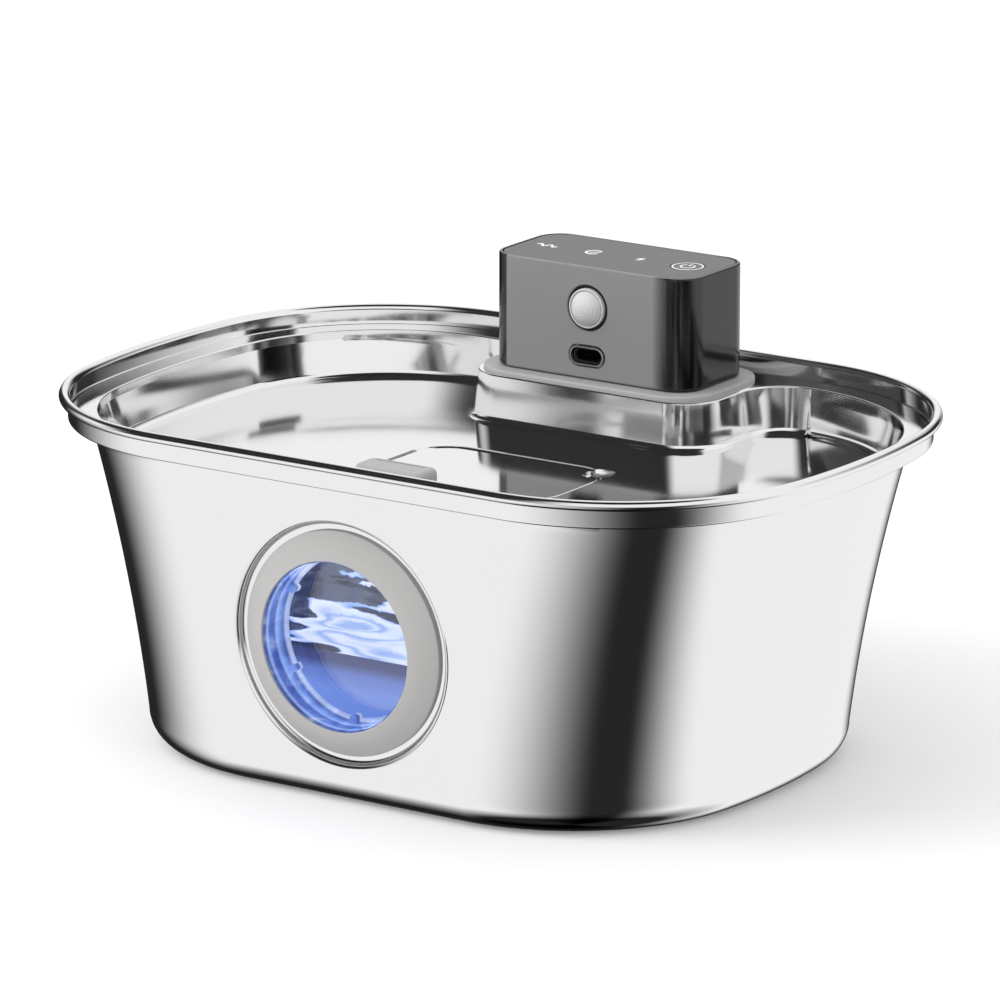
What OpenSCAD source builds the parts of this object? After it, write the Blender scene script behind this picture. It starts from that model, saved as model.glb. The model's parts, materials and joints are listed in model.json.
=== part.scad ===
// Pet water fountain: flared steel tank with a porthole, lift-out drinking tray,
// filter hatch and a lift-out drive module whose stem turns a pump on the tank floor.
// Millimetres, +Z up, origin at the centre of the tank's flat underside.
// The porthole looks towards -Y and the drive module stands at the back, towards +Y.

/* [Tank] */
// Length over the rolled rim
tank_length = 263.2; // [260:0.1:285]
// Width over the rolled rim
tank_width = 189.2; // [180:0.1:200]
// Height to the top of the rolled rim
tank_height = 108.2; // [107:0.1:125]
// Plan radius of the rim's corners, at the rim's centre line
rim_corner_r = 68; // [62:0.5:69]
// Plan radius of the rim's bulged ends
rim_end_r = 246; // [220:1:300]
// Distance from the rim's outside in to the foot of the end walls
end_taper = 26.8; // [22:0.1:31]
// Distance from the rim's outside in to the foot of the side walls
side_taper = 12.2; // [10:0.1:13.5]
// Plan radius of the wall's corners just above the bottom fillet
base_corner_r = 64.7; // [58:0.1:69]
// Plan radius of the wall's ends just above the bottom fillet
base_end_r = 207; // [190:1:280]
// Radius of the fillet between wall and bottom
base_fillet_r = 10; // [7:0.5:11]
// Thickness of the tank's steel sheet
tank_sheet = 0.8; // [0.6:0.1:1]
// Diameter of the rolled rim
rim_bead_d = 3.2; // [2.8:0.1:4]
// Distance from the rim's centre line in to the band's outer face
band_inset = 1.1; // [0.8:0.1:1.3]
// Height of the upright band, up to the rim's centre line
band_height = 7.3; // [7:0.1:9]
// Width of the step between band and wall
step_width = 6.8; // [5.5:0.1:8]
// Share of the wall's flare that comes late, near the top
flare_share = 0.4; // [0:0.05:0.6]

/* [Porthole] */
// Height of the porthole's centre
port_z = 50.2; // [49:0.1:51]
// Radius of the pressed dish in the tank wall
dish_r = 38.4; // [37:0.1:39]
// Depth of the pressed dish
dish_depth = 2; // [1.6:0.1:2.6]
// Radius at the foot of the dish's slope
dish_floor_r = 34.8; // [33.5:0.1:35.2]
// Inner radius of the clear sleeve, seen as the window
window_r = 25.8; // [23:0.1:26.5]
// Wall of the clear sleeve
sleeve_wall = 1.8; // [1.4:0.1:2]
// Depth of the clear sleeve behind the tank's wall
sleeve_depth = 10.5; // [10:0.5:14]
// Height of the window's rim in front of the tank's wall
window_rise = 3.5; // [2.5:0.1:4]
// Width of the sleeve's flange beyond its wall
sleeve_flange = 4.4; // [3:0.1:4.8]
// Thickness of the sleeve's flange
sleeve_flange_t = 0.8; // [0.6:0.1:1]
// Height of the sleeve's inner lugs
lug_height = 2.2; // [1.5:0.1:3]
// Number of lugs
lug_count = 6; // [3:1:8]
// Thickness of the grey ring at its outer edge
bezel_t = 1.3; // [1:0.1:1.5]
// Thickness of the porthole gasket
port_gasket_t = 1.2; // [1:0.1:2]
// Length of the locking ring
lock_ring_t = 5; // [4:0.5:7]

/* [Tray] */
// Height of the tray's turned-down hem
hem_h = 1.7; // [1.5:0.1:2.5]
// Thickness of the tray's steel sheet
tray_sheet = 0.8; // [0.6:0.1:0.9]
// Gap between the basin's wall and the tank's wall
basin_gap = 0.7; // [0.5:0.1:1.5]
// Depth of the basin below the ledge
basin_depth = 14.6; // [12:0.1:15.2]
// Radius of the fillet round the basin's floor
basin_fillet_r = 3; // [2:0.5:5]
// Flat ledge beside the collar, at its sides
platform_side_lip = 3; // [2:0.1:4]
// Flat ledge in front of the collar
platform_front_lip = 1.4; // [1:0.1:4]
// Radius of the platform's front corners
platform_corner_r = 13; // [10:0.5:16]
// Radius of the hollow corners where the platform meets the back ledge
platform_blend_r = 11; // [6:0.5:12]
// Number of drain slots in the basin's floor
drain_count = 5; // [3:1:7]
// Width of a drain slot
drain_w = 2.4; // [1.5:0.1:3]
// Length of a drain slot
drain_l = 9; // [6:0.5:12]
// Pitch of the drain slots
drain_pitch = 7; // [5:0.5:9]
// Distance from the silicone grip to the drain slots
drain_margin = 4; // [2:0.5:6]

/* [Collar] */
// Width of the silicone collar seen round the module
collar_margin = 4.8; // [3:0.1:5.4]
// Thickness of the silicone collar
collar_t = 1.3; // [1:0.1:2]
// Radius of the collar's outer top edge
collar_edge_r = 0.7; // [0.4:0.1:0.9]

/* [Filter hatch] */
// Length of the hatch
hatch_l = 65; // [58:0.5:70]
// Width of the hatch
hatch_w = 41; // [38:0.5:44]
// Radius of the hatch's corners
hatch_r = 12; // [9:0.5:15]
// Sideways place of the hatch's centre
hatch_x = 2.6; // [-6:0.1:6]
// Fore and aft place of the hatch's centre
hatch_y = -10.5; // [-14:0.1:-8]
// Width of the rebate that the hatch lies in
rebate_w = 3; // [2.5:0.1:4]
// Thickness of the hatch plate
hatch_t = 0.8; // [0.6:0.1:1]
// Gap round the hatch
hatch_gap = 0.4; // [0.3:0.05:0.5]
// Depth of the hatch's face below the basin's floor
hatch_sink = 0.2; // [0.1:0.1:0.5]
// Radius of the finger dimple at the hatch's corner
notch_r = 7; // [5:0.5:9]
// How far the finger dimple bites into the hatch's corner
notch_bite = 5; // [4:0.5:6]
// Length of the silicone grip
grip_l = 25; // [18:0.5:28]
// Width of the silicone grip, fore and aft
grip_w = 11; // [8:0.5:14]
// Height of the silicone grip above the hatch
grip_h = 5; // [4:0.5:7]
// Radius of the grip's corners
grip_corner_r = 3; // [2.5:0.1:4]
// Radius of the grip's top edges
grip_edge_r = 2; // [1:0.1:2.4]
// Width of the fold line on the grip
grip_groove_w = 0.8; // [0.6:0.1:1.2]
// Sideways place of the grip's centre, from the hatch's centre
grip_dx = -17; // [-17:0.5:0]
// Length of the grip's foot that lies on the hatch
grip_foot = 3; // [2.5:0.5:4]
// Depth of the filter box
filter_box_h = 22; // [20:0.5:26]
// Wall of the filter box
filter_wall = 1.6; // [1.2:0.1:2]
// Width of the filter box's flange
filter_flange_w = 3; // [2.5:0.1:4]
// Thickness of the filter gasket
filter_gasket_t = 1; // [0.8:0.1:1.5]
// Height of the ledge that the filter foam lies on
pad_ledge_h = 4; // [3:0.5:5]
// Width of the ledge that the filter foam lies on
pad_ledge_w = 2; // [1.5:0.1:3]
// Thickness of the filter foam
foam_t = 6; // [4:0.5:7]
// Thickness of the carbon pad
carbon_t = 8; // [6:0.5:9]

/* [Drive module] */
// Width of the module
module_w = 73.4; // [71:0.1:75]
// Depth of the module
module_d = 36.2; // [35:0.1:37.5]
// Height of the module above the collar
module_h = 35.4; // [35:0.1:45]
// Radius of the module's upright corners
module_r = 9; // [7:0.5:11]
// Distance from the rim's centre line in to the module's back
module_back_gap = 8.1; // [7.6:0.1:9]
// Wall of the module
module_wall = 2; // [1.8:0.1:2.2]
// Thickness of the top panel
panel_t = 2; // [1.5:0.1:2.5]
// Width of the module's rim round the top panel
panel_rim = 1; // [0.8:0.1:1.2]
// Radius of the round button
button_r = 5.4; // [4:0.1:6]
// Travel of the button
button_travel = 0.5; // [0.3:0.1:0.8]
// Thickness of the flange that keeps the button in
button_flange_t = 0.8; // [0.6:0.1:1]
// Width of the flange that keeps the button in
button_flange_w = 1; // [0.8:0.1:1.4]
// Distance from the module's end in to the button's centre
button_inset = 11.7; // [10:0.1:14]
// Distance from the module's other end in to the first lamp
lamp_inset = 10.1; // [8:0.1:14]
// Number of lamps behind the panel's symbols
lamp_count = 3; // [1:1:4]
// Radius of the lamps behind the panel's symbols
lamp_r = 1.5; // [1:0.1:2]

/* [Sensor and charging port] */
// Radius of the sensor hole
sensor_hole_r = 7.3; // [7:0.1:8]
// Radius of the sensor's domed lens
lens_r = 6; // [5:0.1:6.2]
// Height of the dome's crown
lens_crown = 4; // [3:0.1:4.5]
// Wall of the domed lens
lens_wall = 1; // [0.8:0.1:1.2]
// Width of the lip round the dome
lens_lip_w = 0.4; // [0.3:0.1:0.6]
// Thickness of the lip round the dome, and of the flange behind the wall
lens_lip_t = 0.8; // [0.6:0.1:1]
// Height of the sensor's centre above the module's foot
sensor_h = 22.4; // [21:0.1:23.5]
// Radius of the sensor can
can_r = 4.1; // [3.6:0.1:4.3]
// Length of the sensor can
can_l = 4.2; // [3:0.1:4.5]
// Width of the port's recess
port_w = 13.2; // [12.6:0.1:15]
// Height of the port's recess
port_h = 6.9; // [6.6:0.1:7.6]
// Width of the port's liner ring
port_liner = 0.9; // [0.7:0.1:1]
// Height of the port's centre above the module's foot
port_cz = 7.3; // [7:0.1:8]
// Depth of the charging socket behind the module's face
socket_setback = 1; // [0.6:0.1:1.2]
// Width of the charging socket's metal shell
socket_w = 8.9; // [8.4:0.1:9.2]
// Height of the charging socket's metal shell
socket_h = 3.2; // [3:0.1:3.4]
// Wall of the charging socket's metal shell
socket_wall = 0.3; // [0.25:0.05:0.4]
// Thickness of the tongue inside the charging socket
tongue_t = 0.7; // [0.6:0.1:0.8]
// Distance from the module's face back to the front board
board_setback = 9; // [8.5:0.1:9.5]

/* [Electronics] */
// Thickness of the circuit boards
board_t = 1.2; // [1:0.1:1.6]
// Gap between the front board's ends and the screws' heads
front_board_gap = 0.5; // [0.4:0.1:2]
// Height of the switch under the button
switch_h = 3.4; // [2.8:0.1:3.6]
// Width of the switch under the button
switch_w = 6; // [4:0.1:6.5]
// Height of the switch's plunger
plunger_h = 1; // [0.6:0.1:1.4]
// Radius of the switch's plunger
plunger_r = 1.5; // [1:0.1:1.8]
// Thickness of the ribs that carry the main board
rib_t = 2; // [1.6:0.1:2.2]
// Width of the ribs that carry the main board
rib_w = 10; // [6:0.5:14]
// Reach of the ribs that carry the main board
rib_reach = 3; // [2.5:0.1:3.4]
// Radius of the battery cell
cell_r = 9.1; // [7:0.1:9.2]
// Distance from the module's inner end walls to the battery cell
cell_end_gap = 4.2; // [4:0.1:8]
// Wall of the battery cradle
cradle_wall = 1.2; // [1:0.1:1.6]
// Length of the cell that stands out of the cradle at each end
cradle_inset = 4; // [3.5:0.5:10]
// Radius of the motor's leads
lead_r = 0.7; // [0.5:0.1:0.8]
// Distance between the motor's leads
lead_pitch = 5; // [3:0.5:7]

/* [Stem and motor] */
// Distance from the module's inner end walls to the stem
stem_end_gap = 7.7; // [7.2:0.1:9]
// Depth of the stem
stem_d = 22; // [21.5:0.1:23]
// Radius of the stem's corners
stem_r = 8; // [5:0.5:9]
// Wall of the stem
stem_wall = 1.8; // [1.5:0.1:1.9]
// Distance from the module's inner front face back to the stem
stem_margin = 1.3; // [1:0.1:1.8]
// Thickness of the seal under the stem's flange
stem_seal_t = 1; // [0.8:0.1:1.2]
// Thickness of the stem's flange
stem_flange_t = 2; // [1.6:0.1:2.2]
// Shank radius of the flange screws
screw_r = 1; // [0.8:0.1:1.1]
// Head radius of the flange screws
screw_head_r = 2; // [1.6:0.1:2.2]
// Head height of the flange screws
screw_head_h = 1.4; // [1:0.1:1.6]
// Length of the screws' thread in the module's floor
screw_bite = 1.4; // [1.2:0.1:1.6]
// Distance from the module's inner walls to the flange screws
screw_inset = 4.2; // [3.8:0.1:4.4]
// Radius of the motor
motor_r = 8.8; // [7:0.1:8.9]
// Length of the motor
motor_l = 16; // [12:0.5:24]
// Height of the motor's nose
motor_nose_h = 1.5; // [1:0.1:2.5]
// Radius of the motor's nose
motor_nose_r = 3; // [2:0.1:4]
// Height of the motor's clamp pads
clamp_h = 6; // [4:0.5:8]
// Width of the slot between the motor's clamp pads
clamp_slot_w = 10; // [8:0.5:12]
// Radius of the motor's shaft
shaft_r = 1; // [0.8:0.1:1.5]
// Radius of the magnet holder
yoke_r = 8; // [7:0.1:8.4]
// Thickness of the magnet holder
yoke_t = 1.6; // [1.2:0.1:2]
// Thickness of the drive magnets
magnet_t = 2; // [1.5:0.1:3]
// Radius of a drive magnet
magnet_r = 2.2; // [1.6:0.1:2.4]
// Number of drive magnets
magnet_count = 4; // [2:2:6]
// Gap between the drive magnets and the stem's floor
magnet_gap = 0.8; // [0.5:0.1:1.5]

/* [Pump] */
// Height of the pump's rubber feet
foot_h = 2.5; // [2.2:0.1:4]
// Radius of the pump's rubber feet
foot_r = 3; // [2.4:0.1:3.2]
// Height of the strainer
strainer_h = 5; // [4:0.1:7]
// Number of strainer slots on each side
slot_count = 8; // [5:1:10]
// Width of a strainer slot
slot_w = 2; // [1.2:0.1:2.6]
// Wall of the pump
pump_wall = 2; // [1.6:0.1:2.2]
// Radius of the impeller chamber
chamber_r = 10.5; // [9.5:0.1:10.8]
// Height of the impeller chamber
chamber_h = 10; // [9:0.1:13]
// Thickness of the wall between the chamber and the stem's socket
pump_roof = 1.2; // [0.8:0.1:1.6]
// Depth of the socket that the stem stands in
stem_socket_depth = 8; // [5:0.5:12]
// Radius of the water inlet
inlet_r = 5; // [4:0.1:6]
// Radius of the impeller
impeller_r = 8.6; // [7:0.1:8.9]
// Thickness of the impeller's disc
disc_t = 1.2; // [1:0.1:1.6]
// Radius of the impeller's hub
hub_r = 3; // [2.4:0.1:3.5]
// Number of impeller blades
blade_count = 6; // [4:1:8]
// Thickness of an impeller blade
blade_t = 1; // [0.8:0.1:1.4]
// Height of the impeller's blades
blade_h = 4; // [3:0.1:5]
// Thickness of the impeller's magnet ring
ring_magnet_t = 2.4; // [1.8:0.1:2.8]
// Gap between the impeller and the chamber's roof
impeller_gap = 0.5; // [0.4:0.1:0.8]
// Radius of the impeller's ceramic pin
pin_r = 1; // [0.8:0.1:1.3]
// Bore radius of the riser pipe
riser_bore_r = 3.2; // [2.5:0.1:4]
// Wall of the riser pipe
riser_wall = 1.4; // [1:0.1:2]
// Bend radius of the riser pipe
riser_bend_r = 10; // [8:0.5:14]
// Fore and aft place of the riser pipe
riser_y = -4; // [-10:0.5:0]
// Length of the socket that the riser pipe enters
riser_socket_l = 8; // [6:0.5:12]
// Length of the pump's spigot
spigot_l = 8; // [6:0.5:12]
// Wall of the pump's spigot
spigot_wall = 0.8; // [0.6:0.1:1]

/* [Clearances] */
// Gap between pieces that lift apart
lift_gap = 0.3; // [0.25:0.05:0.4]
// Gap round a turning shaft
shaft_gap = 0.05; // [0.02:0.01:0.1]
// Gap round pieces that drop in
drop_gap = 0.15; // [0.1:0.05:0.2]
// Gap round the stem where it passes the tray
stem_gap = 0.6; // [0.4:0.1:1]

/* [Hidden] */
$fn = 64;
// One overrun for every cut that has to pass a face
over = 1;

// Plan outline of the tank: straight sides, round corners and bulged ends.
// An outline is [half length, half width, corner radius, end radius].
end_n = 3;
corner_n = 11;
rim_line = [(tank_length - rim_bead_d) / 2, (tank_width - rim_bead_d) / 2, rim_corner_r, rim_end_r];
base_line = [tank_length / 2 - end_taper, tank_width / 2 - side_taper, base_corner_r, base_end_r];

function grown(o, d) = [for (v = o) v + d];
function mixed(o, p, t) = [for (i = [0:3]) o[i] + (p[i] - o[i]) * t];
function end_angle(o) = asin((o[1] - o[2]) / (o[3] - o[2]));
function corner_centre(o) = [o[0] - o[3] + sqrt(pow(o[3] - o[2], 2) - pow(o[1] - o[2], 2)), o[1] - o[2]];
function quarter(o) =
    let (turn = end_angle(o), c = corner_centre(o))
    concat([for (i = [0:end_n]) let (t = turn * i / end_n) [o[0] - o[3] + o[3] * cos(t), o[3] * sin(t)]],
        [for (i = [1:corner_n]) let (t = turn + (90 - turn) * i / corner_n) c + o[2] * [cos(t), sin(t)]]);
function reversed(p) = [for (i = [len(p) - 1:-1:0]) p[i]];
function tail(p) = [for (i = [1:len(p) - 1]) p[i]];
function flipped(p, sx, sy) = [for (q = p) [q[0] * sx, q[1] * sy]];
function front_half(q) = concat(tail(flipped(q, -1, -1)), tail(reversed(flipped(q, 1, -1))));
function front_part(q) =
    let (f = front_half(q))
    [for (i = [0:len(f) - 2]) f[i]];
function oval(o) =
    let (q = quarter(o))
    concat(q, reversed(flipped(q, -1, 1)), front_part(q));

// Closed solid through a stack of rings with equal counts of points
function lifted(p, z) = [for (q = p) [q[0], q[1], z]];
module stack(rings) {
    n = len(rings[0]);
    m = len(rings);
    polyhedron(points = [for (r = rings) for (p = r) p],
        faces = concat([[for (i = [0:n - 1]) i]],
            [for (k = [0:m - 2]) for (i = [0:n - 1]) let (j = (i + 1) % n)
                [k * n + i, (k + 1) * n + i, (k + 1) * n + j, k * n + j]],
            [[for (i = [n - 1:-1:0]) (m - 1) * n + i]]),
        convexity = 10);
}

// Rounded rectangles and slots, centred; the blocks can be grown by g on every side
round_n = 6;
function arc_pts(x, y, r, start, turn, n) =
    [for (i = [0:n]) let (t = start + turn * i / n) [x + r * cos(t), y + r * sin(t)]];
function rounded_pts(w, d, r) =
    let (x = w / 2 - r, y = d / 2 - r)
    concat(arc_pts(x, y, r, 0, 90, round_n), arc_pts(-x, y, r, 90, 90, round_n),
        arc_pts(-x, -y, r, 180, 90, round_n), arc_pts(x, -y, r, 270, 90, round_n));
function slot_pts(w, h) =
    let (x = (w - h) / 2)
    concat(arc_pts(x, 0, h / 2, -90, 180, 2 * round_n), arc_pts(-x, 0, h / 2, 90, 180, 2 * round_n));
module rounded_block(w, d, r, h, g = 0)
    linear_extrude(height = h) polygon(rounded_pts(w + 2 * g, d + 2 * g, r + g));
module slot_block(w, h, depth, g = 0)
    linear_extrude(height = depth) polygon(slot_pts(w + 2 * g, h + 2 * g));

// Rounded block whose top edges are rounded too
soft_n = 4;
function soft_ring(w, d, r, inset, z) = lifted(rounded_pts(w - 2 * inset, d - 2 * inset, r - inset), z);
module soft_block(w, d, r, h, edge_r, g = 0)
    stack(concat([soft_ring(w, d, r, -g, 0)],
        [for (k = [0:soft_n]) let (t = 90 * k / soft_n)
            soft_ring(w, d, r, edge_r * (1 - cos(t)) - g, h - edge_r * (1 - sin(t)))]));

// Plain ring
module ring(outer_r, inner_r, h)
    difference() {
        cylinder(r = outer_r, h = h);
        translate([0, 0, -over]) cylinder(r = inner_r, h = h + 2 * over);
    }

// Tank levels
bead_r = rim_bead_d / 2;
bead_z = tank_height - bead_r;
band_z = bead_z - band_height;
shelf_z = band_z + tank_sheet;
top_line = grown(rim_line, -band_inset - step_width);
band_face = grown(rim_line, -band_inset);
band_inner = grown(rim_line, -band_inset - tank_sheet);
wall_n = 8;
fillet_n = 4;
bead_angles = [-180 + acos(band_inset / bead_r), -90, -45, 0, 45, 90, 135, 165];
function wall_z(s) = base_fillet_r + (band_z - base_fillet_r) * s;
function wall_line(s) = mixed(base_line, top_line, (1 - flare_share) * s + flare_share * s * s);
function fillet_ring(k, r, floor_z, inset) =
    let (t = 90 * k / fillet_n)
    lifted(oval(grown(base_line, -inset - r * (1 - sin(t)))), floor_z + r * (1 - cos(t)));
function bead_ring(t) = lifted(oval(grown(rim_line, bead_r * cos(t))), bead_z + bead_r * sin(t));
tank_rings = concat(
    [for (k = [0:fillet_n]) fillet_ring(k, base_fillet_r, 0, 0)],
    [for (k = [1:wall_n]) lifted(oval(wall_line(k / wall_n)), wall_z(k / wall_n))],
    [lifted(oval(grown(band_face, -tank_sheet)), band_z), lifted(oval(band_face), shelf_z)],
    [for (t = bead_angles) bead_ring(t)],
    [lifted(oval(band_inner), bead_z), lifted(oval(band_inner), shelf_z),
        lifted(oval(grown(top_line, -tank_sheet)), shelf_z)],
    [for (k = [wall_n - 1:-1:1]) lifted(oval(grown(wall_line(k / wall_n), -tank_sheet)), wall_z(k / wall_n))],
    [for (k = [fillet_n:-1:0]) fillet_ring(k, base_fillet_r - tank_sheet, tank_sheet, tank_sheet)]);

// Porthole: its axis is square to the leaning front wall
function wall_half_w(z) = wall_line((z - base_fillet_r) / (band_z - base_fillet_r))[1];
port_y = -wall_half_w(port_z);
port_tilt = atan((wall_half_w(port_z + dish_r) - wall_half_w(port_z - dish_r)) / (2 * dish_r));
port_hole_r = window_r + sleeve_wall + drop_gap;
dish_lip = tank_sheet / 4;
sleeve_flange_r = window_r + sleeve_wall + sleeve_flange;
sleeve_front = dish_depth - sleeve_flange_t;
sleeve_rim = sleeve_flange_t - window_rise;
bezel_r = dish_floor_r - drop_gap;
lock_ring_r = port_hole_r + sleeve_flange;
module at_port() translate([0, port_y, port_z]) rotate([-90 + port_tilt, 0, 0]) children();

module tank_shell()
    color("gainsboro") {
        difference() {
            stack(tank_rings);
            at_port() translate([0, 0, -base_fillet_r])
                cylinder(r = dish_r - tank_sheet, h = 2 * base_fillet_r);
        }
        at_port() rotate_extrude()
            polygon([[port_hole_r, dish_depth], [dish_floor_r, dish_depth], [dish_r - tank_sheet, -dish_lip],
                [dish_r, -dish_lip], [dish_r, tank_sheet], [dish_r - tank_sheet / 2, tank_sheet],
                [dish_floor_r, dish_depth + tank_sheet], [port_hole_r, dish_depth + tank_sheet]]);
    }

module window_bezel()
    color("silver")
    at_port() rotate_extrude()
        polygon([[window_r, -window_rise], [window_r + sleeve_wall, -window_rise],
            [bezel_r, dish_depth - bezel_t], [bezel_r, dish_depth], [sleeve_flange_r + drop_gap, dish_depth],
            [sleeve_flange_r + drop_gap, sleeve_front], [port_hole_r, sleeve_front], [port_hole_r, sleeve_rim],
            [window_r, sleeve_rim]]);

module window_sleeve()
    color("lightblue")
    at_port() {
        rotate_extrude()
            polygon([[window_r, sleeve_rim], [window_r + sleeve_wall, sleeve_rim],
                [window_r + sleeve_wall, sleeve_front], [sleeve_flange_r, sleeve_front],
                [sleeve_flange_r, dish_depth], [window_r + sleeve_wall, dish_depth],
                [window_r + sleeve_wall, sleeve_depth], [0, sleeve_depth],
                [0, sleeve_depth - sleeve_wall], [window_r, sleeve_depth - sleeve_wall]]);
        for (i = [0:lug_count - 1])
            rotate([0, 0, 360 * (i + 1 / 2) / lug_count])
                translate([window_r - lug_height, -lug_height / 2, sleeve_depth / 2])
                    cube([lug_height + sleeve_wall / 2, lug_height, (sleeve_depth - sleeve_wall) / 2]);
    }

module window_gasket()
    color("dimgray")
    at_port() translate([0, 0, dish_depth + tank_sheet]) ring(lock_ring_r, port_hole_r, port_gasket_t);

module window_lock_ring()
    color("whitesmoke")
    at_port() translate([0, 0, dish_depth + tank_sheet + port_gasket_t])
        difference() {
            ring(lock_ring_r, port_hole_r, lock_ring_t);
            for (i = [0:lug_count - 1])
                rotate([0, 0, 360 * i / lug_count])
                    translate([lock_ring_r, 0, lock_ring_t / 2]) cylinder(r = lug_height, h = lock_ring_t);
        }

// Module and stem: places that the tray and the pump follow
ledge_z = shelf_z + lift_gap + hem_h;
collar_z = ledge_z + collar_t;
module_z = collar_z + lift_gap;
module_top = module_z + module_h;
module_y = rim_line[1] - module_back_gap - module_d / 2;
module_front = module_y - module_d / 2;
inner_w = module_w - 2 * module_wall;
inner_d = module_d - 2 * module_wall;
inner_r = module_r - module_wall;
stem_w = inner_w - 2 * stem_end_gap;
stem_y = module_front + module_wall + stem_margin + stem_d / 2;
module in_module(z) translate([0, module_y, z]) children();
module stem_block(z, h, g) translate([0, stem_y, z]) rounded_block(stem_w, stem_d, stem_r, h, g);

// Tray: the basin's wall follows the tank's wall and runs round the raised platform at the back
platform_n = 7;
basin_n = 2;
basin_inset = tank_sheet + basin_gap + tray_sheet;
basin_floor_z = ledge_z - basin_depth;
basin_z = basin_floor_z + basin_fillet_r;
platform_half_w = module_w / 2 + collar_margin + platform_side_lip;
platform_front_y = module_front - collar_margin - platform_front_lip;
tray_edge = grown(band_inner, -lift_gap);
function wall_share(z) = min(1, (z - base_fillet_r) / (band_z - base_fillet_r));
function basin_line(z) = grown(wall_line(wall_share(z)), -basin_inset);
function platform_side(back_y, e) =
    let (x = platform_half_w + platform_blend_r, y = platform_front_y + platform_corner_r)
    concat(arc_pts(x, back_y - platform_blend_r, platform_blend_r - e, 90, 90, platform_n),
        arc_pts(platform_half_w - platform_corner_r, y, platform_corner_r + e, 0, -90, platform_n));
function basin_pts(z, e) =
    let (o = basin_line(z), q = quarter(grown(o, -e)), s = platform_side(o[1], e))
    concat(q, s, reversed(flipped(s, -1, 1)), reversed(flipped(q, -1, 1)), front_part(q));
function basin_ring(z, e) = lifted(basin_pts(z, e), z);
function basin_level(k) = basin_z + (band_z - basin_z) * k / basin_n;
function basin_fillet(k, grow) =
    let (t = 90 * k / fillet_n, r = basin_fillet_r + grow)
    lifted(basin_pts(basin_z, r * (1 - cos(t)) - grow), basin_floor_z - grow + r * (1 - sin(t)));
pan_rings = concat(
    [for (k = [fillet_n:-1:0]) basin_fillet(k, tray_sheet)],
    [for (k = [1:basin_n]) basin_ring(basin_level(k), -tray_sheet)],
    [basin_ring(ledge_z, -tray_sheet), basin_ring(ledge_z, 0)],
    [for (k = [basin_n:-1:1]) basin_ring(basin_level(k), 0)],
    [for (k = [0:fillet_n]) basin_fillet(k, 0)]);

rebate_depth = lift_gap + hatch_t + hatch_sink;
notch_reach = (hatch_r - notch_bite + notch_r) * sin(45);
notch_x = hatch_l / 2 - hatch_r + notch_reach;
notch_y = hatch_w / 2 - hatch_r + notch_reach;
dimple_r = (pow(notch_r, 2) + pow(rebate_depth, 2)) / (2 * rebate_depth);
grip_y = -hatch_w / 2 + grip_foot - grip_w / 2;
drain_y = grip_y - grip_w / 2 - drain_margin - drain_l / 2;
module at_hatch(dz) translate([hatch_x, hatch_y, basin_floor_z + dz]) children();
module at_grip(dx, dy) at_hatch(-hatch_sink) translate([grip_dx + dx, grip_y + dy, 0]) children();

module tray()
    color("gainsboro")
    difference() {
        union() {
            translate([0, 0, ledge_z - tray_sheet])
                linear_extrude(height = tray_sheet)
                    difference() {
                        polygon(oval(tray_edge));
                        polygon(basin_pts(ledge_z, -tray_sheet / 2));
                    }
            translate([0, 0, ledge_z - hem_h])
                linear_extrude(height = hem_h)
                    difference() {
                        polygon(oval(tray_edge));
                        polygon(oval(grown(tray_edge, -tray_sheet)));
                    }
            stack(pan_rings);
            at_hatch(-rebate_depth - tray_sheet)
                rounded_block(hatch_l, hatch_w, hatch_r, rebate_depth + tray_sheet / 2,
                    hatch_gap + tray_sheet);
            at_hatch(-rebate_depth - tray_sheet) translate([notch_x, notch_y, 0])
                intersection() {
                    translate([0, 0, dimple_r + tray_sheet]) sphere(r = dimple_r + tray_sheet);
                    cylinder(r = notch_r, h = rebate_depth + tray_sheet / 2);
                }
        }
        at_hatch(-rebate_depth) rounded_block(hatch_l, hatch_w, hatch_r, rebate_depth + over, hatch_gap);
        at_hatch(-rebate_depth - tray_sheet - over)
            rounded_block(hatch_l, hatch_w, hatch_r, tray_sheet + 2 * over, -rebate_w);
        at_hatch(dimple_r - rebate_depth) translate([notch_x, notch_y, 0]) sphere(r = dimple_r);
        stem_block(ledge_z - tray_sheet - over, tray_sheet + 2 * over, stem_gap);
        for (i = [0:drain_count - 1])
            at_hatch(-tray_sheet - over) translate([(i - (drain_count - 1) / 2) * drain_pitch, drain_y, 0])
                rotate([0, 0, 90]) slot_block(drain_l, drain_w, tray_sheet + 2 * over);
    }

module collar_gasket()
    color("lightgray")
    difference() {
        translate([0, module_y, ledge_z])
            soft_block(module_w, module_d, module_r, collar_t, collar_edge_r, collar_margin);
        stem_block(ledge_z - over, collar_t + 2 * over, stem_gap);
    }

// Filter box under the hatch, its pads and the hatch itself
filter_top = -rebate_depth - tray_sheet - filter_gasket_t;
filter_floor = filter_top - filter_box_h;
foam_z = filter_floor + pad_ledge_h;
carbon_z = foam_z + foam_t + drop_gap;
riser_r = riser_bore_r + riser_wall;
riser_socket_r = riser_r + lift_gap;
riser_socket_z = basin_floor_z + filter_floor - filter_wall - riser_socket_l;
module filter_block(z, h, g) at_hatch(z) rounded_block(hatch_l, hatch_w, hatch_r, h, g - rebate_w);

module filter_gasket()
    color("dimgray")
    difference() {
        filter_block(filter_top, filter_gasket_t, filter_wall + filter_flange_w);
        filter_block(filter_top - over, filter_gasket_t + 2 * over, 0);
    }

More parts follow.
